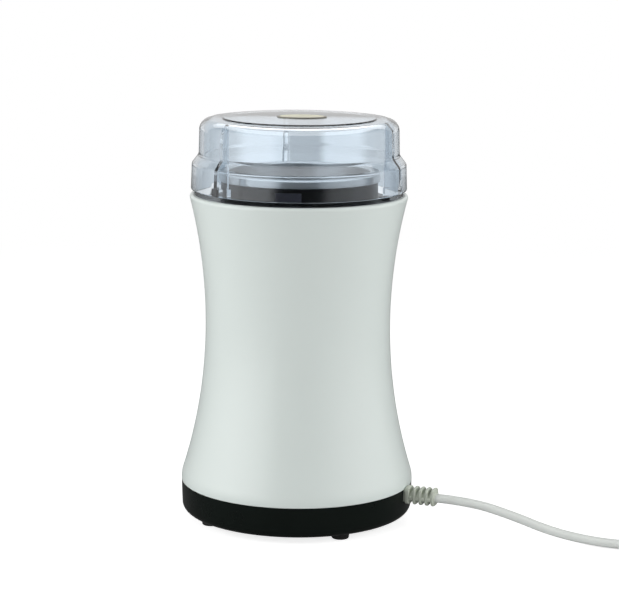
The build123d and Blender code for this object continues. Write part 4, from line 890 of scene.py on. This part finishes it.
def makePlug():
    # Neck with rings, shoulders, and a ribbed body with finger hollows top and bottom. The half sizes of
    # the sections go from the neck's to the body's as the shoulder rises from 0 to 1 along the plug.
    along = np.linspace(0, plug["length"], plug["steps"])
    shoulder = eased(np.clip((along - plug["shoulder"][0]) / plug["shoulder"][1], 0, 1))
    ringDepth, ringPitch, ringEnd = plug["ring"]
    rings = ringDepth * np.cos(2 * np.pi * along / ringPitch) * (along < ringEnd)
    hollowDepth, middle, hollowHalf = plug["hollow"]
    hollow = hollowDepth * np.clip(1 - ((along - middle) / hollowHalf) ** 2, 0, 1) ** 1.5
    gripDepth, gripPitch, gripHalf = plug["grip"]
    grip = gripDepth * np.cos(2 * np.pi * (along - middle) / gripPitch) * (np.abs(along - middle) < gripHalf)
    (neckWide, neckHigh), (bodyWide, bodyHigh) = plug["neck"], plug["body"]
    halfWide = neckWide + rings + shoulder * (bodyWide - neckWide)
    halfHigh = neckHigh + rings + shoulder * (bodyHigh - neckHigh) - hollow + grip
    power = plug["powers"][0] + (plug["powers"][1] - plug["powers"][0]) * shoulder
    edge = plug["edge"]
    nearEnd = np.clip((along - plug["length"] + edge) / edge, 0, 1)
    less = edge * (1 - np.sqrt(np.clip(1 - nearEnd ** 2, 0, 1)))
    radius = np.array([superellipse(*section) for section in zip(halfWide - less, halfHigh - less, power)])
    piece = sectionedPiece("mouldedPlug", along, radius, 180.0, plug["place"], "cordVinyl")
    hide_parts("plug_body")
    return piece


makeRelief()
plugBody = makePlug()


# Button spring: round wire on a helix with flat end turns, as tall as the CAD spring's box

spring = {"wire": 0.3, "turns": 5, "steps": 36, "around": 12, "flat": 0.15, "travel": 1.5, "smooth": 30.0}


def makeButtonSpring():
    low, high = (np.array(corner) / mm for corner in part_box("button_spring"))
    middle, wire = (low + high) / 2, spring["wire"]
    mean = (high[0] - low[0]) / 2 - wire
    share = np.linspace(0, 1, spring["turns"] * spring["steps"] + 1)
    turn = 2 * np.pi * spring["turns"] * share
    climb = eased(np.clip((share - spring["flat"]) / (1 - 2 * spring["flat"]), 0, 1))
    height = low[2] + wire + (high[2] - low[2] - 2 * wire) * climb
    outward = np.c_[np.cos(turn), np.sin(turn), 0 * turn]
    line = outward * mean + np.c_[middle[0] + 0 * turn, middle[1] + 0 * turn, height]
    ahead = np.gradient(line, axis=0)
    across = np.cross(ahead / np.linalg.norm(ahead, axis=1)[:, None], outward)
    corner = np.linspace(0, 2 * np.pi, spring["around"], endpoint=False)[:, None, None]
    points = line + wire * (np.cos(corner) * outward + np.sin(corner) * across)
    points = points.transpose(1, 0, 2).reshape(-1, 3)
    faces = gridFaces(len(line), spring["around"], False, True).tolist()
    faces += [list(range(spring["around"]))[::-1], list(range(len(points) - spring["around"], len(points)))]
    piece = meshObject("coilSpring", points, faces, "groundSteel", "switch_button",
                       spring["smooth"])
    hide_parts("button_spring")
    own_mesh(piece)


makeButtonSpring()
print("relief, plug and spring made")


# CAD nodes that keep their shape: smooth copies of the ones that show, new finishes for all

key = {"angle": -7.0, "width": 10.6, "out": 33.5, "low": 141.4, "high": 145.5}


def paintKeyLight(piece):
    # painted light: the raised block on the front of the upstand gets a lighter blue-grey than the black
    # collar it is moulded with, standing for the light it catches
    mesh = piece.data
    mesh.materials.append(materials["keyPaintedLight"])
    x, y, z = faceMiddles(mesh)
    turn = np.degrees(np.arctan2(x, -y)) - key["angle"]
    aside = np.abs(np.radians(turn)) * key["out"]
    inside = (aside < key["width"] / 2) & (np.hypot(x, y) > key["out"]) & (z > key["low"]) & (z < key["high"])
    mesh.polygons.foreach_set("material_index", inside.astype(np.int32))


smoothCopy("base_cover", "blackBase", "housing")
paintKeyLight(smoothCopy("collar", "blackCollar", "housing"))
smoothCopy("feet", "footRubber", "housing")

finishOfNode = {
    "body_shell": "whiteGloss", "base_cover": "blackBase", "feet": "footRubber", "base_screws": "screwSteel",
    "collar": "blackCollar", "bowl": "spunSteel", "bowl_gasket": "sealRubber", "shaft_seal": "sealRubber",
    "lid": "clearSmoke", "switch_button": "mouldedBlack", "button_spring": "groundSteel",
    "microswitch": "mouldedBlack", "switch_plunger": "mouldedRed", "switch_terminals": "sinteredBronze",
    "switch_screws": "screwSteel", "stator_core": "lamination", "field_coils": "enamelCopper",
    "upper_bracket": "castZinc", "lower_bracket": "mouldedBlack", "upper_bearing": "sinteredBronze",
    "lower_bearing": "sinteredBronze", "motor_bolts": "screwSteel", "thrust_washers": "groundSteel",
    "motor_mounts": "sealRubber", "mount_screws": "screwSteel", "motor_shaft": "groundSteel",
    "armature_core": "lamination", "armature_windings": "enamelCopper", "commutator": "enamelCopper",
    "fan": "mouldedCream", "blade_spacer": "mouldedCream", "blade": "groundSteel", "blade_nut": "groundSteel",
    "brush_holders": "sinteredBronze", "carbon_brushes": "carbonBlock", "brush_springs": "groundSteel",
    "strain_relief": "reliefVinyl", "inner_cord": "cordVinyl", "cord_clamp": "mouldedCream",
    "clamp_screws": "screwSteel", "lead_wires": "leadBlue", "capacitor": "pottedYellow",
    "cord": "cordVinyl", "cord_coil": "cordVinyl", "coil_tie": "tieBlack", "plug_body": "cordVinyl",
    "plug_blades": "platedBrass",
}
for name, finish in finishOfNode.items():
    slots = nodes[name].data.materials
    if not slots:
        slots.append(materials[finish])
    for index in range(len(slots)):
        slots[index] = materials[finish]

print("finishes given to", len(finishOfNode), "nodes")
